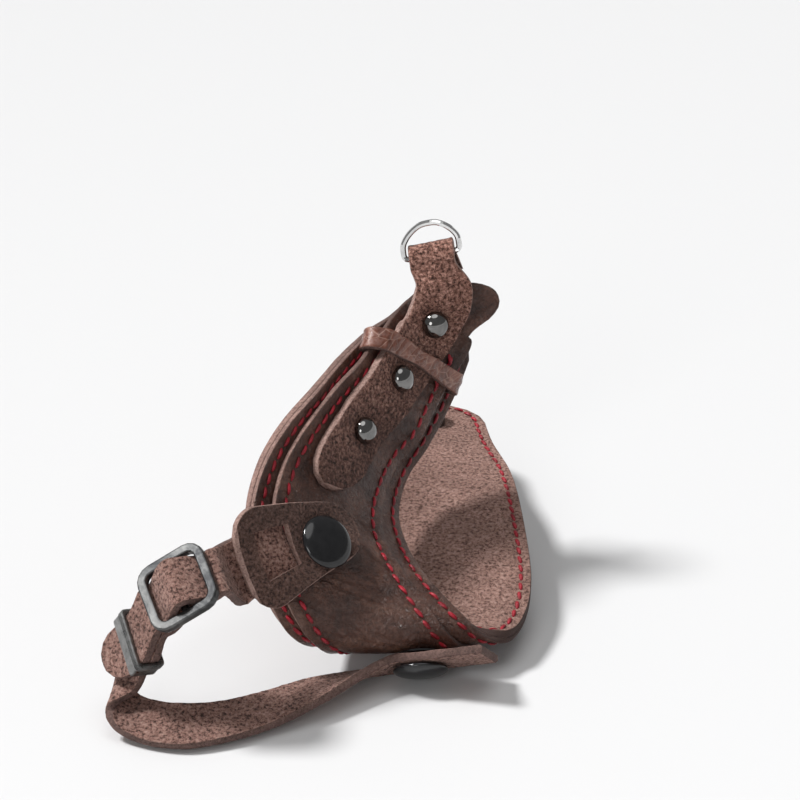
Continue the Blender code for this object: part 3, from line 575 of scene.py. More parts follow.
def rounded_loop(line, half_x, half_y, radius):
    """Fill a flat spline with a rounded rectangle."""
    points = []
    for corner in range(4):
        sign_x = (1, -1, -1, 1)[corner]
        sign_y = (1, 1, -1, -1)[corner]
        for i in range(5):
            angle = pi / 2 * (corner + i / 4.0)
            x = sign_x * (half_x - radius) + radius * cos(angle)
            y = sign_y * (half_y - radius) + radius * sin(angle)
            points.append((x, y))
    line.points.add(len(points) - 1)
    for item, (x, y) in zip(line.points, points):
        item.co = (x * MM, y * MM, 0.0, 1.0)
    line.use_cyclic_u = True


# The view, fitted to the photograph: places in metres, lens and sensor in
# millimetres.
CAMERA_AT = (-0.009, -0.71205, 0.36823)
CAMERA_TILT = radians(63.5)
CAMERA_LENS = 136.71
SENSOR = 36.0
VIEW_FAR = 20.0

# The studio in metres: a pale floor, a low pale wall far round it and three lamps.
FLOOR_HALF = 6.0
FLOOR_UNDER = 0.0001
FLOOR_COLOUR = (0.715, 0.715, 0.718, 1.0)
WALL_FAR = 3.2
WALL_TALL = 0.9
WALL_MID = 0.13
WALL_BRIGHT = 0.92
SKY = 0.24
SUN_FROM = Vector((-0.66, 0.12, 1.0))
SUN_POWER = 3.3
SUN_WIDE = radians(12.0)
LAMPS = (
    ("front", Vector((-0.45, -1.15, 0.60)), Vector((-0.02, -0.05, 0.02)), 0.50, 2.6),
    ("over", Vector((0.10, -0.10, 1.60)), Vector((0.0, -0.05, 0.0)), 1.20, 6.0),
)

# The rounded rims: of most leather, the lining, the slim straps and the keeper.
RIM = 0.35
LINING_RIM = 0.45
STRAP_RIM = 0.4
KEEPER_RIM = 0.3

# The seams' places and grooves, the overlay's padded middle, and the stitches.
BASE_SEAM = 2.6
OVER_SEAM = 3.3
OVER_SEAM_START = 11.0
GROOVE_WIDE = 0.7
BASE_GROOVE = 0.28
OVER_GROOVE = 0.3
OVER_SWELL = 0.45
OVER_SWELL_FROM = 46.0
OVER_SWELL_TO = 66.0
SEAM_STEP = 0.5
STITCH_PITCH = 3.5
STITCH_LONG = 2.85
STITCH_WIDE = 1.0
STITCH_TALL = 0.62
STITCH_LIFT = 0.12

# Ridges of the metal keeper: their places along it, and their radius.
RIDGES = (2.2, 1.55, 0.9)
RIDGE_R = 0.2

# How many rows the fine leather pieces have along them, and points across.
PAD_FINE = (190, 40)
OVERLAY_FINE = (210, 44)
CONNECT_FINE = 260
SHORT_FINE = 190
LONG_FINE = 280
STRAP_ACROSS = 22
KEEPER_ACROSS = 14
KEEPER_STEPS = 14


def add_object(name, data):
    obj = bpy.data.objects.new(name, data)
    bpy.context.scene.collection.objects.link(obj)
    return obj


def make_camera():
    data = bpy.data.cameras.new("camera")
    data.sensor_width = SENSOR
    data.lens = CAMERA_LENS
    data.clip_end = VIEW_FAR
    obj = add_object("camera", data)
    obj.location = CAMERA_AT
    obj.rotation_euler = (CAMERA_TILT, 0.0, 0.0)
    bpy.context.scene.camera = obj


def aim(obj, way):
    obj.rotation_euler = way.to_track_quat("-Z", "Y").to_euler()


def make_lights():
    data = bpy.data.lights.new("sun", "SUN")
    data.energy = SUN_POWER
    data.angle = SUN_WIDE
    aim(add_object("sun", data), -SUN_FROM)
    for name, at, target, size, power in LAMPS:
        data = bpy.data.lights.new(name, "AREA")
        data.shape = "DISK"
        data.size = size
        data.energy = power
        obj = add_object(name, data)
        obj.location = at
        aim(obj, target - at)


def make_world():
    world = bpy.data.worlds.new("studio")
    world.use_nodes = True
    back = world.node_tree.nodes["Background"]
    back.inputs["Color"].default_value = (1.0, 1.0, 1.0, 1.0)
    back.inputs["Strength"].default_value = SKY
    bpy.context.scene.world = world


class Nodes:
    """Short ways to build a material's nodes."""

    def __init__(self, name):
        self.material = bpy.data.materials.new(name)
        self.material.use_nodes = True
        self.tree = self.material.node_tree
        self.shader = self.tree.nodes["Principled BSDF"]
        self.place = self.tree.nodes.new("ShaderNodeTexCoord").outputs["Object"]

    def put(self, socket, value):
        if hasattr(value, "links"):
            self.tree.links.new(value, socket)
        else:
            socket.default_value = value

    def fill(self, node, inputs):
        """Values or links for a node's inputs; underscores stand for spaces."""
        for key, value in inputs.items():
            self.put(node.inputs[key.replace("_", " ")], value)

    def add(self, kind, settings=(), **inputs):
        node = self.tree.nodes.new(kind)
        for key, value in dict(settings).items():
            setattr(node, key, value)
        self.fill(node, inputs)
        return node

    def surface(self, **inputs):
        """Fill the shader's inputs and hand back the finished material."""
        self.fill(self.shader, inputs)
        return self.material

    def noise(self, scale, detail=4.0, rough=0.6, distortion=0.0, place=None):
        node = self.add("ShaderNodeTexNoise", Scale=scale, Detail=detail, Roughness=rough,
                        Distortion=distortion, Vector=place or self.place)
        return node.outputs["Fac"]

    def cells(self, scale, feature, place=None):
        node = self.add("ShaderNodeTexVoronoi", {"feature": feature},
                        Scale=scale, Vector=place or self.place)
        return node.outputs["Distance"]

    def stretched(self, x, y, z, turn=0.0):
        node = self.add("ShaderNodeMapping", Scale=(x, y, z), Rotation=(0.0, 0.0, turn),
                        Vector=self.place)
        return node.outputs["Vector"]

    def along(self, axis):
        """The place along one axis, in metres."""
        return self.add("ShaderNodeSeparateXYZ", Vector=self.place).outputs[axis]

    def ramp(self, value, stops):
        node = self.add("ShaderNodeValToRGB", Fac=value)
        band = node.color_ramp
        while len(band.elements) < len(stops):
            band.elements.new(0.5)
        for element, (at, colour) in zip(band.elements, stops):
            element.position = at
            element.color = (*colour, 1.0)
        return node.outputs["Color"]

    def span(self, value, low, high, to_low, to_high):
        node = self.add("ShaderNodeMapRange", Value=value, From_Min=low, From_Max=high,
                        To_Min=to_low, To_Max=to_high)
        return node.outputs["Result"]

    def mix(self, share, first, second, kind="MIX"):
        node = self.add("ShaderNodeMix", {"data_type": "RGBA", "blend_type": kind})
        self.put(node.inputs[0], share)
        self.put(node.inputs[6], first)
        self.put(node.inputs[7], second)
        return node.outputs[2]

    def bump(self, height, strength, distance, normal=None):
        node = self.add("ShaderNodeBump", Strength=strength, Distance=distance, Height=height)
        if normal is not None:
            self.put(node.inputs["Normal"], normal)
        return node.outputs["Normal"]


def stage_piece(name, height, material, make, **settings):
    """A piece of the studio at a height above the strap's lowest point."""
    mesh = bpy.data.meshes.new(name)
    bm = bmesh.new()
    make(bm, **settings)
    bm.to_mesh(mesh)
    bm.free()
    mesh.materials.append(material)
    obj = add_object(name, mesh)
    obj.location.z = CAD_BOX[0][2] + height


def make_floor():
    n = Nodes("floor")
    material = n.surface(Base_Color=FLOOR_COLOUR, Roughness=0.55, Specular_IOR_Level=0.3)
    stage_piece("floor", -FLOOR_UNDER, material, bmesh.ops.create_grid,
                x_segments=1, y_segments=1, size=FLOOR_HALF)


def make_backdrop():
    """A pale wall far round the table: white to the eye and in reflections."""
    n = Nodes("backdrop")
    rays = n.add("ShaderNodeLightPath")
    flag = rays.outputs["Is Camera Ray"]
    for other in ("Is Glossy Ray", "Is Transmission Ray"):
        more = n.add("ShaderNodeMath", {"operation": "MAXIMUM"})
        n.put(more.inputs[0], flag)
        n.put(more.inputs[1], rays.outputs[other])
        flag = more.outputs[0]
    glow = n.add("ShaderNodeEmission", Strength=n.span(flag, 0.0, 1.0, SKY, WALL_BRIGHT))
    n.tree.nodes.remove(n.shader)
    n.put(n.tree.nodes["Material Output"].inputs["Surface"], glow.outputs[0])
    stage_piece("backdrop", WALL_MID, n.material, bmesh.ops.create_cone, cap_ends=False,
                segments=96, radius1=WALL_FAR, radius2=WALL_FAR, depth=WALL_TALL)


def grain_leather(name, low, mid, high):
    """Smooth full-grain leather: pebbled, lightly creased, uneven in tone."""
    n = Nodes(name)
    colour = n.ramp(n.noise(95.0, 6.0, 0.62, 0.6), ((0.30, low), (0.52, mid), (0.72, high)))
    speck = n.span(n.noise(1300.0, 4.0, 0.7), 0.45, 0.65, 0.0, 0.6)
    colour = n.mix(speck, colour, (*low, 1.0))
    rough = n.span(n.noise(400.0, 5.0, 0.7), 0.3, 0.7, 0.28, 0.42)
    pebble = n.bump(n.cells(1500.0, "SMOOTH_F1"), 0.5, 0.0003)
    lines = n.noise(210.0, 7.0, 0.66, 1.6, n.stretched(1.0, 2.4, 0.8, 0.5))
    away = n.add("ShaderNodeMath", {"operation": "ABSOLUTE"}, Value=n.span(lines, 0.0, 1.0, -0.5, 0.5))
    lines = n.bump(n.span(away.outputs[0], 0.0, 0.05, 0.0, 1.0), 0.5, 0.0004, pebble)
    waves = n.bump(n.noise(520.0, 5.0, 0.65, 1.2), 0.9, 0.0009, lines)
    return n.surface(Base_Color=colour, Roughness=rough, Specular_IOR_Level=0.6, Normal=waves)


def suede_leather(name, pit, mid, high, pits=0.5, coarse=1150.0, painted_top_light=0.0):
    """Napped leather: a dense fibre surface with dark pits, and painted light that makes it lighter
    higher up when painted_top_light is given.
    """
    n = Nodes(name)
    nap = n.noise(coarse, 5.0, 0.68, 0.35)
    colour = n.ramp(nap, ((0.38, pit), (0.38 + 0.14 * pits, mid), (0.68, high)))
    shade = n.ramp(n.noise(75.0, 4.0, 0.6), ((0.3, (0.70, 0.67, 0.66)), (0.7, (1.08, 1.06, 1.06))))
    colour = n.mix(1.0, colour, shade, "MULTIPLY")
    # Painted light: the colour is multiplied up with height, standing in for the lamp falling on the
    # strap's top.
    if painted_top_light > 0.0:
        painted_light_gain = n.span(n.along("Z"), 0.026, 0.056, 1.0, 1.0 + painted_top_light)
        colour = n.mix(1.0, colour, painted_light_gain, "MULTIPLY")
    fibre = n.bump(n.noise(2300.0, 3.0, 0.7, 1.5), 0.7, 0.0004, n.bump(nap, 1.0, 0.0011))
    return n.surface(Base_Color=colour, Roughness=0.93, Specular_IOR_Level=0.2,
                     Sheen_Weight=0.12, Sheen_Roughness=0.5, Normal=fibre)


def cut_edge(name, low, high, painted_shade_right=False):
    """The fibrous cut rim of the leather, with painted shade that darkens it towards its right when
    painted_shade_right is set.
    """
    n = Nodes(name)
    fibre = n.noise(1500.0, 5.0, 0.75, 0.8)
    colour = n.ramp(fibre, ((0.34, low), (0.60, high)))
    shade = n.ramp(n.noise(160.0, 3.0), ((0.32, (0.62, 0.60, 0.60)), (0.68, (1.0, 1.0, 1.0))))
    colour = n.mix(1.0, colour, shade, "MULTIPLY")
    # Painted shade: the rim blends to a dark brown towards the right, away from the light on the left.
    if painted_shade_right:
        share = n.span(n.along("X"), -0.035, -0.005, 0.0, 0.93)
        colour = n.mix(share, colour, (0.040, 0.019, 0.015, 1.0))
    return n.surface(Base_Color=colour, Roughness=0.85, Normal=n.bump(fibre, 0.8, 0.0004))


def creased_leather(name):
    """The glossy keeper: red-brown, with lighter creases along its bends."""
    n = Nodes(name)
    tone = n.noise(130.0, 6.0, 0.65, 1.0)
    stops = ((0.30, (0.070, 0.022, 0.013)), (0.52, (0.17, 0.062, 0.040)), (0.72, (0.32, 0.150, 0.105)))
    lines = n.cells(300.0, "DISTANCE_TO_EDGE", n.stretched(0.9, 0.4, 1.8, 0.4))
    worn = n.span(lines, 0.0, 0.05, 0.40, 0.0)
    colour = n.mix(worn, n.ramp(tone, stops), (0.52, 0.34, 0.27, 1.0))
    uneven = n.bump(n.noise(700.0, 5.0, 0.7), 0.5, 0.0004, n.bump(lines, 0.6, 0.0005))
    return n.surface(Base_Color=colour, Roughness=n.span(tone, 0.3, 0.7, 0.20, 0.36), Normal=uneven)


def thread(name):
    """Waxed crimson thread with a fine twist."""
    n = Nodes(name)
    twist = n.add("ShaderNodeTexWave", {"bands_direction": "DIAGONAL"},
                  Scale=900.0, Distortion=1.0, Vector=n.place)
    colour = n.ramp(n.noise(300.0, 3.0), ((0.35, (0.18, 0.003, 0.010)), (0.65, (0.42, 0.008, 0.024))))
    twist = n.bump(twist.outputs["Fac"], 0.7, 0.0001)
    return n.surface(Base_Color=colour, Roughness=0.45, Normal=twist)


def metal(name, low, high, rough, scratch, stretch=(1.0, 1.0, 1.0), scale=260.0):
    """Metal worn between two tones, with fine scratches."""
    n = Nodes(name)
    wear = n.noise(scale, 6.0, 0.68, 0.5)
    fine = n.noise(2200.0, 2.0, 0.6, 0.0, n.stretched(*stretch))
    return n.surface(Base_Color=n.ramp(wear, ((0.36, low), (0.64, high))), Metallic=1.0,
                     Roughness=n.span(wear, 0.3, 0.7, *rough), Normal=n.bump(fine, scratch, 0.00005))


def enamel(name):
    """Glossy black enamel."""
    n = Nodes(name)
    colour = n.ramp(n.noise(500.0, 3.0), ((0.3, (0.006, 0.006, 0.007)), (0.7, (0.012, 0.012, 0.013))))
    rough = n.span(n.noise(900.0, 4.0), 0.3, 0.7, 0.10, 0.17)
    return n.surface(Base_Color=colour, Roughness=rough, Specular_IOR_Level=0.5)


def spread(half, count, edge=RIM):
    """Places across a strap from -1 to 1, with two close to each edge."""
    near = [-1.0, -1.0 + 0.35 * edge / half, -1.0 + edge / half]
    low = near[-1]
    middle = [low + (-2.0 * low) * i / (count - 1) for i in range(1, count - 1)]
    return near + middle + [-k for k in reversed(near)]


def grid_normals(rows, closed):
    count = len(rows)
    wide = len(rows[0])
    result = []
    for i in range(count):
        before = rows[(i - 1) % count] if closed else rows[max(i - 1, 0)]
        after = rows[(i + 1) % count] if closed else rows[min(i + 1, count - 1)]
        line = []
        for j in range(wide):
            along = after[j] - before[j]
            side = rows[i][min(j + 1, wide - 1)] - rows[i][max(j - 1, 0)]
            line.append(along.cross(side).normalized())
        result.append(line)
    return result


def rim_drop(distance, edge):
    x = 1.0 - min(distance / edge, 1.0)
    return edge * (1.0 - sqrt(max(1.0 - x * x, 0.0)))


def leather_sheet(name, rows, thickness, materials, top=None, low=None, closed=False,
                  edge=RIM, skip=None):
    """A leather sheet about its middle, with a rounded cut rim of the third
    material. top and low raise its faces, closed joins its ends, skip leaves holes."""
    count = len(rows)
    wide = len(rows[0])
    normals = grid_normals(rows, closed)
    mid = wide // 2
    bm = bmesh.new()
    upper = []
    lower = []
    for i, row in enumerate(rows):
        end = inf
        if not closed:
            end = min((row[mid] - rows[0][mid]).length, (row[mid] - rows[-1][mid]).length)
        up = []
        down = []
        for j, point in enumerate(row):
            side = min((point - row[0]).length, (point - row[-1]).length)
            drop = rim_drop(min(side, end), edge)
            high = thickness / 2 - drop + (top(i, j) if top else 0.0)
            deep = thickness / 2 - drop + (low(i, j) if low else 0.0)
            up.append(bm.verts.new(to_model(point + normals[i][j] * high)))
            down.append(bm.verts.new(to_model(point - normals[i][j] * deep)))
        upper.append(up)
        lower.append(down)
    last = count if closed else count - 1
    keep = {}
    for i in range(last):
        k = (i + 1) % count
        for j in range(wide - 1):
            if skip and skip(i, j):
                continue
            keep[(i, j)] = True
            rim = j < 1 or j > wide - 3 or (not closed and (i < 1 or i > count - 3))
            around = ((i, j), (k, j), (k, j + 1), (i, j + 1))
            face = bm.faces.new([upper[p][q] for p, q in around])
            face.material_index = 2 if rim else 0
            face = bm.faces.new([lower[p][q] for p, q in (around[0], *around[:0:-1])])
            face.material_index = 2 if rim else 1
    for i, j in keep:
        k = (i + 1) % count
        before = (i - 1) % count if closed else i - 1
        after = k if closed else i + 1
        for beside, (p, q), (r, t) in (
            ((i, j - 1), (i, j), (k, j)),
            ((i, j + 1), (k, j + 1), (i, j + 1)),
            ((before, j), (i, j + 1), (i, j)),
            ((after, j), (k, j), (k, j + 1)),
        ):
            if beside not in keep:
                wall = bm.faces.new((upper[p][q], lower[p][q], lower[r][t], upper[r][t]))
                wall.material_index = 2
    bmesh.ops.recalc_face_normals(bm, faces=bm.faces)
    return mesh_object(name, bm, materials, 60.0)


def mesh_object(name, bm, materials, angle=40.0):
    mesh = bpy.data.meshes.new(name)
    bm.to_mesh(mesh)
    bm.free()
    for material in materials:
        mesh.materials.append(material)
    mesh.shade_smooth()
    mesh.set_sharp_from_angle(angle=radians(angle))
    return add_object(name, mesh)


def settle(obj, nodes=()):
    """The piece rides on the one body, and stands for the CAD nodes named."""
    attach(obj, "root")
    if nodes:
        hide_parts(*nodes)


def dent(distance, width, depth):
    return -depth * exp(-(distance / width) ** 2)


def pad_width_at(s):
    share = min(round_end(s, PAD_TOP_ROUND), round_end(PAD_LENGTH - s, PAD_BASE_ROUND))
    return pad_half(s) * share


def pad_sheet(name, height, thickness, materials, inner, nodes):
    spots = end_spaced(0.0, PAD_LENGTH, PAD_FINE[0], PAD_TOP_ROUND, PAD_BASE_ROUND)
    halves = [pad_width_at(s) for s in spots]
    rows = []
    places = []
    for s, half in zip(spots, halves):
        line = [half * k for k in spread(half, PAD_FINE[1])]
        places.append(line)
        rows.append([pad_point(s, a, height) for a in line])

    def relief(i, j):
        a = places[i][j]
        s = spots[i]
        value = dent(halves[i] - abs(a) - BASE_SEAM, GROOVE_WIDE, BASE_GROOVE)
        value += 0.16 * noise(Vector((s * 0.16, a * 0.16, 3.0)))
        value += 0.07 * noise(Vector((s * 0.6, a * 0.5, 9.0)))
        return value

    if inner:
        obj = leather_sheet(name, rows, thickness, materials, low=relief, edge=LINING_RIM)
    else:
        obj = leather_sheet(name, rows, thickness, materials, top=relief)
    settle(obj, nodes)


def overlay_sides(s):
    low = linear(OVERLAY_SECTIONS, s, 1)
    high = linear(OVERLAY_SECTIONS, s, 2)
    cut = end_cut(s, OVERLAY_START, OVERLAY_END, OVERLAY_ROUND, OVERLAY_ROUND)
    return low + cut, high - cut


# The overlay's creases: two ends along and across the pad, and a depth.
CREASE_FADE = 3.0
CREASES = (
    ((84.0, -15.0), (101.0, 12.0), 0.26),
    ((88.0, -6.0), (95.0, 13.0), 0.20),
    ((92.0, -16.0), (108.0, 4.0), 0.22),
    ((74.0, 2.0), (90.0, 13.0), 0.18),
    ((96.0, -10.0), (99.0, 10.0), 0.16),
    ((70.0, 6.0), (79.0, 14.0), 0.15),
    ((80.0, -17.0), (89.0, -2.0), 0.16),
    ((104.0, -8.0), (112.0, 9.0), 0.14),
    ((86.0, 3.0), (104.0, 11.0), 0.15),
    ((63.0, -4.0), (73.0, 6.0), 0.13),
    ((100.0, -14.0), (106.0, -3.0), 0.18),
    ((30.0, -17.0), (44.0, -13.0), 0.15),
)


def crease(s, a):
    """Height of the overlay's face from its creases, each with a ridge beside it."""
    value = 0.0
    for (s0, a0), (s1, a1), depth in CREASES:
        way = Vector((s1 - s0, a1 - a0))
        long = way.length
        way = way / long
        to = Vector((s - s0, a - a0))
        along = to.dot(way)
        off = to.x * way.y - to.y * way.x
        off += 0.9 * noise(Vector((along * 0.25, s0, a0)))
        if -CREASE_FADE < along < long + CREASE_FADE:
            painted_shade_right = ease(along, -CREASE_FADE, CREASE_FADE)
            painted_shade_right *= 1.0 - ease(along, long - CREASE_FADE, long + CREASE_FADE)
            value += dent(off, 0.45, depth * 1.5) * painted_shade_right
            value -= dent(off - 0.9, 0.6, depth * 0.45) * painted_shade_right
    return value


def make_overlay_leather(materials):
    spots = end_spaced(OVERLAY_START, OVERLAY_END, OVERLAY_FINE[0], OVERLAY_ROUND, OVERLAY_ROUND)
    rows = []
    places = []
    for s in spots:
        low, high = overlay_sides(s)
        half = (high - low) / 2
        line = [(low + high) / 2 + half * k for k in spread(half, OVERLAY_FINE[1])]
        places.append(line)
        rows.append([pad_point(s, a, overlay_mid(s)) for a in line])

    def relief(i, j):
        line = places[i]
        a = line[j]
        s = spots[i]
        edge = min(a - line[0], line[-1] - a, s - OVERLAY_START, OVERLAY_END - s)
        half = (line[-1] - line[0]) / 2
        value = dent(edge - OVER_SEAM, GROOVE_WIDE, OVER_GROOVE)
        inner = min(max((edge - OVER_SEAM) / (half - OVER_SEAM + 0.01), 0.0), 1.0)
        value += OVER_SWELL * sqrt(inner) * ease(s, OVER_SWELL_FROM, OVER_SWELL_TO)
        value += crease(s, a)
        value += 0.14 * noise(Vector((s * 0.2, a * 0.2, 1.0)))
        value += 0.10 * noise(Vector((s * 0.8 + a * 0.3, a * 0.5, 5.0)))
        return value

    obj = leather_sheet("overlay_leather", rows, OVERLAY_T, materials, top=relief)
    settle(obj, ("pad_overlay",))


def strap_sheet(name, rows, thickness, materials, node, rough, seed, dents=()):
    """A suede strap from its rows of five points, finely divided."""
    across = spread(SLIM_W / 2, STRAP_ACROSS)
    fine = [[spline(row, 2.0 + 2.0 * k) for k in across] for row in rows]

    def relief(i, j):
        point = fine[i][j]
        value = rough * noise(point * 0.55 + Vector((seed, 0.0, 0.0)))
        value += 0.6 * rough * noise(point * 1.9 + Vector((0.0, seed, 0.0)))
        for spot, wide in dents:
            value += dent(max((point - spot).length - wide, 0.0), 1.2, 0.22)
        return value

    obj = leather_sheet(name, fine, thickness, materials, top=relief, low=relief, edge=STRAP_RIM)
    settle(obj, (node,))


def make_tab_leather(materials):
    first = TAB_SECTIONS[0][0]
    last = TAB_SECTIONS[-1][0]
    slot_x = (SLOT_MID[0] - SLOT_LONG / 2, SLOT_MID[0] + SLOT_LONG / 2)
    xs = [first + TAB_ROUND_SNAP * (1.0 - cos(pi / 2 * i / 9)) for i in range(9)]
    for low, high, steps in ((first + TAB_ROUND_SNAP, slot_x[0], 16), (*slot_x, 12)):
        xs += even(low, high, steps)
    xs += [last - (last - slot_x[1]) * cos(pi / 2 * i / 9) for i in range(10)]
    low = linear(TAB_SECTIONS, SLOT_MID[0], 1)
    high = linear(TAB_SECTIONS, SLOT_MID[0], 2)
    f0 = (SLOT_MID[1] - SLOT_TALL / 2 - low) / (high - low)
    f1 = (SLOT_MID[1] + SLOT_TALL / 2 - low) / (high - low)
    edge = RIM / (high - low)
    shares = [0.0, edge * 0.4, edge]
    shares += even(edge, f0, 8)[1:] + even(f0, f1, 12) + even(f1, 1.0 - edge, 8)
    shares += [1.0 - edge, 1.0 - edge * 0.4, 1.0]
    rows = []
    for x in xs:
        low = linear(TAB_SECTIONS, x, 1)
        high = linear(TAB_SECTIONS, x, 2)
        cut = end_cut(x, first, last, TAB_ROUND_SNAP, TAB_ROUND_FAR)
        row = []
        for f in shares:
            s, a = tab_xy_to_pad(x, low + cut + (high - low - 2 * cut) * f)
            row.append(pad_point(s, a, tab_mid()))
        rows.append(row)

    def skip(i, j):
        x = (xs[i] + xs[min(i + 1, len(xs) - 1)]) / 2
        f = (shares[j] + shares[j + 1]) / 2
        return slot_x[0] < x < slot_x[1] and f0 < f < f1

    def relief(i, j):
        point = rows[i][j]
        value = 0.15 * noise(point * 0.35) + 0.08 * noise(point * 1.6)
        snap = pad_point(SNAP1_S, SNAP1_A, tab_mid())
        value += dent(max((point - snap).length - SNAP_CAP_D / 2, 0.0), 1.5, 0.25)
        return value

    obj = leather_sheet("snap_tab_leather", rows, TAB_T, materials, top=relief, skip=skip)
    settle(obj, ("snap_tab",))


def keeper_outline():
    left = Vector(KEEPER_LEFT)
    right = Vector(KEEPER_RIGHT)
    way = (right - left).normalized()
    over = TONGUE_LIFT + GAP + OVERLAY_T + GAP + CONNECT_T + GAP + KEEPER_T / 2
    under = GAP + KEEPER_T / 2
    mid = (over + under) / 2
    strap_mid = connect_a((left.y + right.y) / 2)
    strap_left = (strap_mid - CONNECT_W / 2 - left.x) / way.x
    strap_right = (strap_mid + CONNECT_W / 2 - left.x) / way.x
    width = (right - left).length
    outline = (
        (strap_left - 1.2, over - 0.1),
        (strap_left + 4.0, over + 0.1),
        ((strap_left + strap_right) / 2, over + 0.15),
        (strap_right - 4.0, over + 0.1),
        (strap_right + 0.8, over - 0.1),
        (width + 0.4, mid + 2.2),
        (width + 2.6, mid - 0.2),
        (width + 1.6, under + 0.3),
        (width - 2.5, under),
        (width * 0.5, under),
        (2.5, under),
        (-1.6, under + 0.3),
        (-2.8, mid - 0.2),
        (-0.9, mid + 2.2),
    )
    return left, way, width, [Vector(point) for point in outline]


def make_keeper_leather(materials):
    left, way, width, flat = keeper_outline()
    across = Vector((-way.y, way.x))
    count = len(flat)
    steps = KEEPER_STEPS
    rows = []
    marks = []
    for i in range(count * steps):
        k = i // steps
        around = [flat[(k + j) % count] for j in (-1, 0, 1, 2)]
        spot = spline(around, 1.0 + (i % steps) / steps)
        marks.append(spot)
        pinch = 0.55 * exp(-((spot.x - width * 0.45) / 5.0) ** 2)
        row = []
        for j in spread(KEEPER_W / 2, KEEPER_ACROSS, KEEPER_RIM):
            place = left + way * spot.x + across * ((KEEPER_W / 2 - pinch) * j)
            row.append(pad_point(place.y, place.x, spot.y))
        rows.append(row)

    def relief(i, j):
        spot = marks[i]
        k = j / (len(rows[0]) - 1) * 2.0 - 1.0
        fold = 0.35 * (1.0 - k * k) * exp(-((spot.x - width * 0.45) / 7.0) ** 2)
        value = fold + 0.22 * noise(Vector((spot.x * 0.35, k * 2.2, 2.0)))
        value += 0.12 * noise(Vector((spot.x * 1.4, k * 2.0, 7.0)))
        return value

    obj = leather_sheet(
        "keeper_leather", rows, KEEPER_T, materials, low=relief, closed=True, edge=KEEPER_RIM)
    settle(obj, ("strap_keeper",))


def bridge(bm, rings):
    """Faces between neighbouring rings, where the first or last may be one point."""
    for first, second in zip(rings, rings[1:]):
        steps = max(len(first), len(second))
        for k in range(steps):
            n = (k + 1) % steps
            face = []
            for ring, place in ((first, k), (first, n), (second, n), (second, k)):
                vert = ring[place % len(ring)]
                if vert not in face:
                    face.append(vert)
            bm.faces.new(face)


def capsule(bm, centre, along, up, length):
    """One stitch: a short rounded thread that sinks into the leather at its ends."""
    side = up.cross(along).normalized()
    shares = ((-0.5, 0.30), (-0.38, 0.75), (-0.18, 0.97), (0.0, 1.0))
    shares += tuple((-at, share) for at, share in reversed(shares[:3]))
    around = 8
    rings = []
    for at, share in shares:
        ring = []
        for k in range(around):
            angle = 2.0 * pi * k / around
            sink = -0.28 * (abs(at) * 2.0) ** 2.5
            point = centre + along * (length * at)
            point += up * (STITCH_TALL / 2 * sin(angle) * share + sink)
            point += side * (STITCH_WIDE / 2 * cos(angle) * share)
            ring.append(bm.verts.new(to_model(point)))
        rings.append(ring)
    bridge(bm, rings)
    bm.faces.new(list(reversed(rings[0])))
    bm.faces.new(rings[-1])


def stitch_line(name, points, ups, material, pitch=STITCH_PITCH, length=STITCH_LONG):
    """Stitches laid along a line of points on a leather face."""
    bm = bmesh.new()
    reach = [0.0]
    for first, second in zip(points, points[1:]):
        reach.append(reach[-1] + (second - first).length)
    count = max(int(reach[-1] / pitch), 1)
    i = 0
    for k in range(count):
        at = (k + 0.5) * reach[-1] / count
        while i < len(reach) - 2 and reach[i + 1] < at:
            i += 1
        f = (at - reach[i]) / (reach[i + 1] - reach[i])
        centre = points[i].lerp(points[i + 1], f)
        up = ups[i].lerp(ups[i + 1], f).normalized()
        along = points[i + 1] - points[i]
        along = (along - up * along.dot(up)).normalized()
        wobble = noise(Vector((k * 3.7, points[0].x, points[0].z)))
        along = Matrix.Rotation(radians(9.0 + 7.0 * wobble), 3, up) @ along
        capsule(bm, centre + up * STITCH_LIFT, along, up, length * (1.0 + 0.12 * wobble))
    bmesh.ops.recalc_face_normals(bm, faces=bm.faces)
    settle(mesh_object(name, bm, (material,), 70.0))


def face_line(points_at):
    """Points and outward directions along a face, from (s, a, h) spots."""
    points = []
    ups = []
    for s, a, h in points_at:
        point = pad_point(s, a, h)
        points.append(point)
        ups.append((pad_point(s, a, h + 0.5) - point).normalized())
    return points, ups


def base_seam(inner):
    """The seam near the pad's edge, up one side, round the end and back."""
    height = -OUTER_T - LINER_T - GAP if inner else 0.0
    left = []
    right = []
    s = 1.5
    while s < PAD_LENGTH - BASE_SEAM:
        half = pad_width_at(s) - BASE_SEAM
        if half > 0.6:
            left.append((s, -half, height))
            right.append((s, half, height))
        s += SEAM_STEP
    spots = left + list(reversed(right))
    points, ups = face_line(spots)
    if inner:
        ups = [-up for up in ups]
    return points, ups


def over_seam():
    """The two side seams of the overlay, left and right."""
    left = []
    right = []
    s = OVER_SEAM_START
    while s < OVERLAY_END - OVER_SEAM:
        low, high = overlay_sides(s)
        height = overlay_top(s)
        if high - low > 2.0 * OVER_SEAM + 0.6:
            left.append((s, low + OVER_SEAM, height))
            right.append((s, high - OVER_SEAM, height))
        s += SEAM_STEP
    return left, right


def make_stitches(material):
    points, ups = base_seam(False)
    stitch_line("stitches_base", points, ups, material)
    points, ups = base_seam(True)
    stitch_line("stitches_inside", points, ups, material)
    for side, spots in zip(("left", "right"), over_seam()):
        points, ups = face_line(spots)
        stitch_line(f"stitches_overlay_{side}", points, ups, material)
        back = []
        for k in range(9):
            s = spots[0][0] + 1.2 * k
            low, high = overlay_sides(s)
            shift = 0.75 if k % 2 else -0.15
            a = low + OVER_SEAM + shift if side == "left" else high - OVER_SEAM - shift
            back.append((s, a, overlay_top(s) + 0.25))
        points, ups = face_line(back)
        stitch_line(f"backstitch_{side}", points, ups, material, 2.4, 2.6)


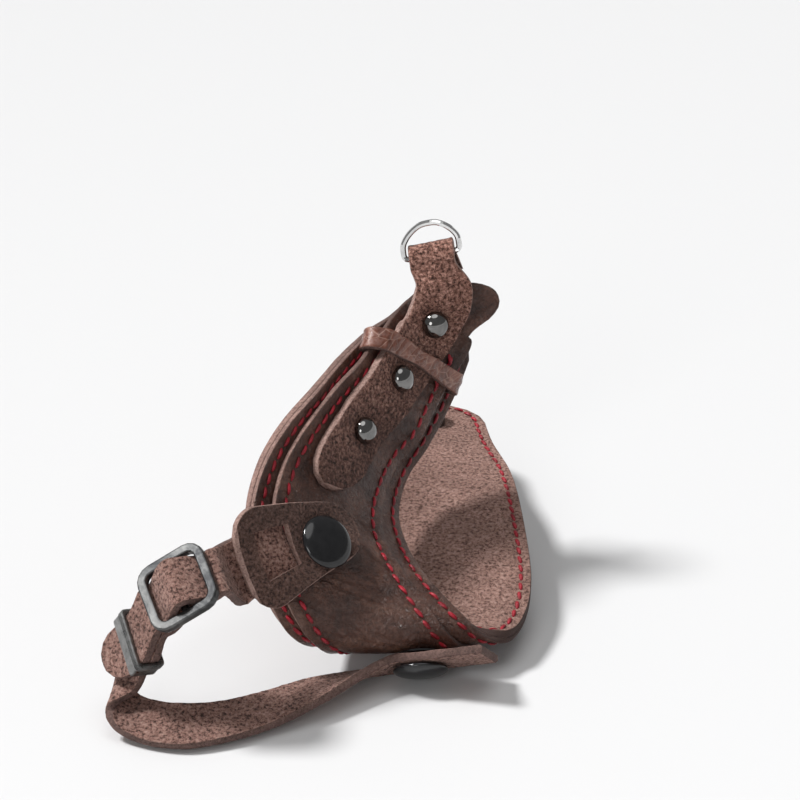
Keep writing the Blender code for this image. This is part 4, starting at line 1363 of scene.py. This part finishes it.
def turned_piece(name, profile, at, material, nodes, steps=72):
    """A turned piece from a smooth profile, finely divided."""
    bm = bmesh.new()
    rings = []
    for r, z in profile:
        if r < 0.001:
            rings.append([bm.verts.new(at @ Vector((0.0, 0.0, z * MM)))])
            continue
        ring = []
        for k in range(steps):
            angle = 2.0 * pi * k / steps
            spot = Vector((r * cos(angle) * MM, r * sin(angle) * MM, z * MM))
            ring.append(bm.verts.new(at @ spot))
        rings.append(ring)
    bridge(bm, rings)
    bmesh.ops.recalc_face_normals(bm, faces=bm.faces)
    settle(mesh_object(name, bm, (material,), 50.0), nodes)


def front_ply(rows):
    """The connecting strap's rows on the overlay, short of its fold over the ring."""
    return rows[:len(rows) * 3 // 4]


def make_studs(rows, material):
    for index, s in enumerate(STUD_S):
        near = pad_point(s, connect_a(s), connect_h(s))
        at = on_strap(rows, near, CONNECT_T / 2 + GAP)
        radius = STUD_D / 2
        profile = dome_profile(radius, STUD_H, STUD_LIP, 18)
        profile += [(radius, 0.35), (radius - 0.25, 0.0), (radius - 0.5, -0.4), (0.0, -0.4)]
        number = index + 1
        turned_piece(f"stud_dome_{number}", profile, at, material, (f"stud_{number}",))


def make_caps(material):
    radius = SNAP_CAP_D / 2
    for number, s, a, h in (
        (1, SNAP1_S, SNAP1_A, tab_mid() + TAB_T / 2 + GAP + SNAP_SLACK),
        (2, SNAP2_S, SNAP2_A, snap2_stack()[2]),
    ):
        profile = dome_profile(radius, SNAP_CAP_H, CAP_LIP, 22)
        profile += [(radius, 0.5), (radius - 0.25, 0.22), (radius - 0.9, 0.0)]
        profile += [(SNAP_SEAT_D / 2, -0.25), (0.0, -0.25)]
        at = pad_frame(s, a, h)
        name = f"snap_cap_{number}"
        turned_piece(name, profile, at, material, (f"snap_{number}_cap",), 96)


def make_keeper_ridges(material):
    """Fine ridges round the metal keeper, on the edge nearest the buckle."""
    depth = 2 * LOOP_WALL + 3 * GAP + 2 * SLIM_T
    centre = LOOP_AT + loop_inward() * (depth / 2)
    half_x = SLIM_W / 2 + LOOP_EASE + LOOP_WALL
    half_y = depth / 2
    side = LOOP_ACROSS.cross(loop_inward())
    up_sign = 1.0 if side.dot(LOOP_ALONG) < 0.0 else -1.0
    for number, along in enumerate(RIDGES):
        curve = bpy.data.curves.new("ridge", "CURVE")
        curve.dimensions = "3D"
        curve.bevel_depth = RIDGE_R * MM
        curve.bevel_resolution = 2
        rounded_loop(curve.splines.new("POLY"), half_x + 0.02, half_y + 0.02, 1.0)
        at = frame_of(centre + side * (along * up_sign), LOOP_ACROSS, loop_inward(), side)
        source = add_object("ridge", curve)
        source.matrix_world = at
        bpy.context.view_layer.update()
        graph = bpy.context.evaluated_depsgraph_get()
        mesh = bpy.data.meshes.new_from_object(source.evaluated_get(graph))
        bpy.data.objects.remove(source, do_unlink=True)
        bm = bmesh.new()
        bm.from_mesh(mesh)
        bmesh.ops.transform(bm, matrix=at, verts=bm.verts)
        settle(mesh_object(f"keeper_ridge_{number + 1}", bm, (material,)), ())


def paint(node, material):
    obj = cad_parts[node]
    if not obj.material_slots:
        obj.data.materials.append(material)
    for item in obj.material_slots:
        item.material = material


def build():
    make_camera()
    make_world()
    make_floor()
    make_backdrop()
    make_lights()

    grain = grain_leather(
        "grain", (0.026, 0.008, 0.004), (0.104, 0.040, 0.024), (0.190, 0.095, 0.064))
    nubuck = suede_leather(
        "nubuck_tab", (0.030, 0.014, 0.010), (0.125, 0.065, 0.049), (0.270, 0.165, 0.134), 0.8, 1400.0)
    lining = suede_leather(
        "suede_lining", (0.12, 0.057, 0.043), (0.43, 0.248, 0.200), (0.64, 0.430, 0.365), 0.9, 1250.0)
    # The suede strap's last argument paints light onto its upper part.
    suede = suede_leather(
        "suede_strap", (0.022, 0.008, 0.005), (0.175, 0.086, 0.064), (0.40, 0.240, 0.195),
        1.0, 1250.0, 1.3)
    slim = suede_leather(
        "suede_slim", (0.050, 0.021, 0.015), (0.38, 0.210, 0.168), (0.60, 0.400, 0.335), 0.9, 1250.0)
    hidden = suede_leather("suede_back", (0.05, 0.024, 0.020), (0.15, 0.085, 0.070), (0.26, 0.16, 0.13))
    # The pale rim's last argument paints shade on its right side.
    pale_edge = cut_edge("cut_edge_pale", (0.13, 0.068, 0.055), (0.46, 0.29, 0.245), True)
    rim_edge = cut_edge("cut_edge_light", (0.16, 0.085, 0.068), (0.50, 0.33, 0.28))
    dark_edge = cut_edge("cut_edge_dark", (0.045, 0.022, 0.018), (0.22, 0.13, 0.108))
    band = creased_leather("keeper_leather")
    red = thread("crimson_thread")
    silver = metal("bright_steel_ring", (0.55, 0.55, 0.55), (0.78, 0.78, 0.77), (0.06, 0.14), 0.05)
    dark = metal("dark_chrome_dome", (0.15, 0.148, 0.145), (0.22, 0.215, 0.21), (0.05, 0.10), 0.02)
    black = enamel("black_enamel_dome")
    gunmetal = metal(
        "worn_gunmetal_frame", (0.045, 0.046, 0.048), (0.17, 0.17, 0.166), (0.30, 0.46), 0.3,
        scale=110.0)
    nickel = metal(
        "brushed_nickel_band", (0.13, 0.13, 0.128), (0.30, 0.30, 0.295), (0.24, 0.38), 0.5,
        (1.0, 6.0, 1.0))

    outer_mid = -OUTER_T / 2 - GAP / 4
    pad_sheet("outer_leather", outer_mid, OUTER_T + GAP / 2, (grain, hidden, pale_edge), False,
              ("pad_outer",))
    inner_mid = -OUTER_T - GAP - LINER_T / 2 + GAP / 4
    pad_sheet("lining_leather", inner_mid, LINER_T + GAP / 2, (hidden, lining, pale_edge), True,
              ("pad_liner",))
    make_overlay_leather((grain, hidden, pale_edge))
    rows = strap_rows(connect_path(), CONNECT_FINE, CONNECT_W / 2)
    front = front_ply(rows)
    dents = []
    for s in STUD_S:
        near = pad_point(s, connect_a(s), connect_h(s))
        best = min(front, key=lambda row: (row[2] - near).length)
        dents.append((best[2], STUD_D / 2))
    strap_sheet("connecting_leather", rows, CONNECT_T, (hidden, suede, rim_edge),
                "connecting_strap", 0.16, 4.0, dents)
    make_studs(front, dark)
    make_keeper_leather((hidden, band, dark_edge))
    make_tab_leather((nubuck, hidden, rim_edge))
    both = (slim, slim, dark_edge)
    rows = strap_rows(short_path(), SHORT_FINE, 0.0, SLIM_W / 2)
    strap_sheet("short_strap_leather", rows, SLIM_T, both, "wrist_strap_short", 0.14, 7.0)
    rows = strap_rows(long_path(), LONG_FINE)
    strap_sheet("long_strap_leather", rows, SLIM_T, both, "wrist_strap_long", 0.12, 9.0)
    make_stitches(red)
    make_caps(black)
    make_keeper_ridges(nickel)
    for material, nodes in (
        (silver, ("lug_ring",)),
        (gunmetal, ("snap_1_ring", "buckle_frame")),
        (black, ("snap_2_ring",)),
        (nickel, ("metal_keeper", "screw_washer", "camera_screw")),
    ):
        for node in nodes:
            paint(node, material)


build()
bpy.context.scene.view_settings.view_transform = "Standard"
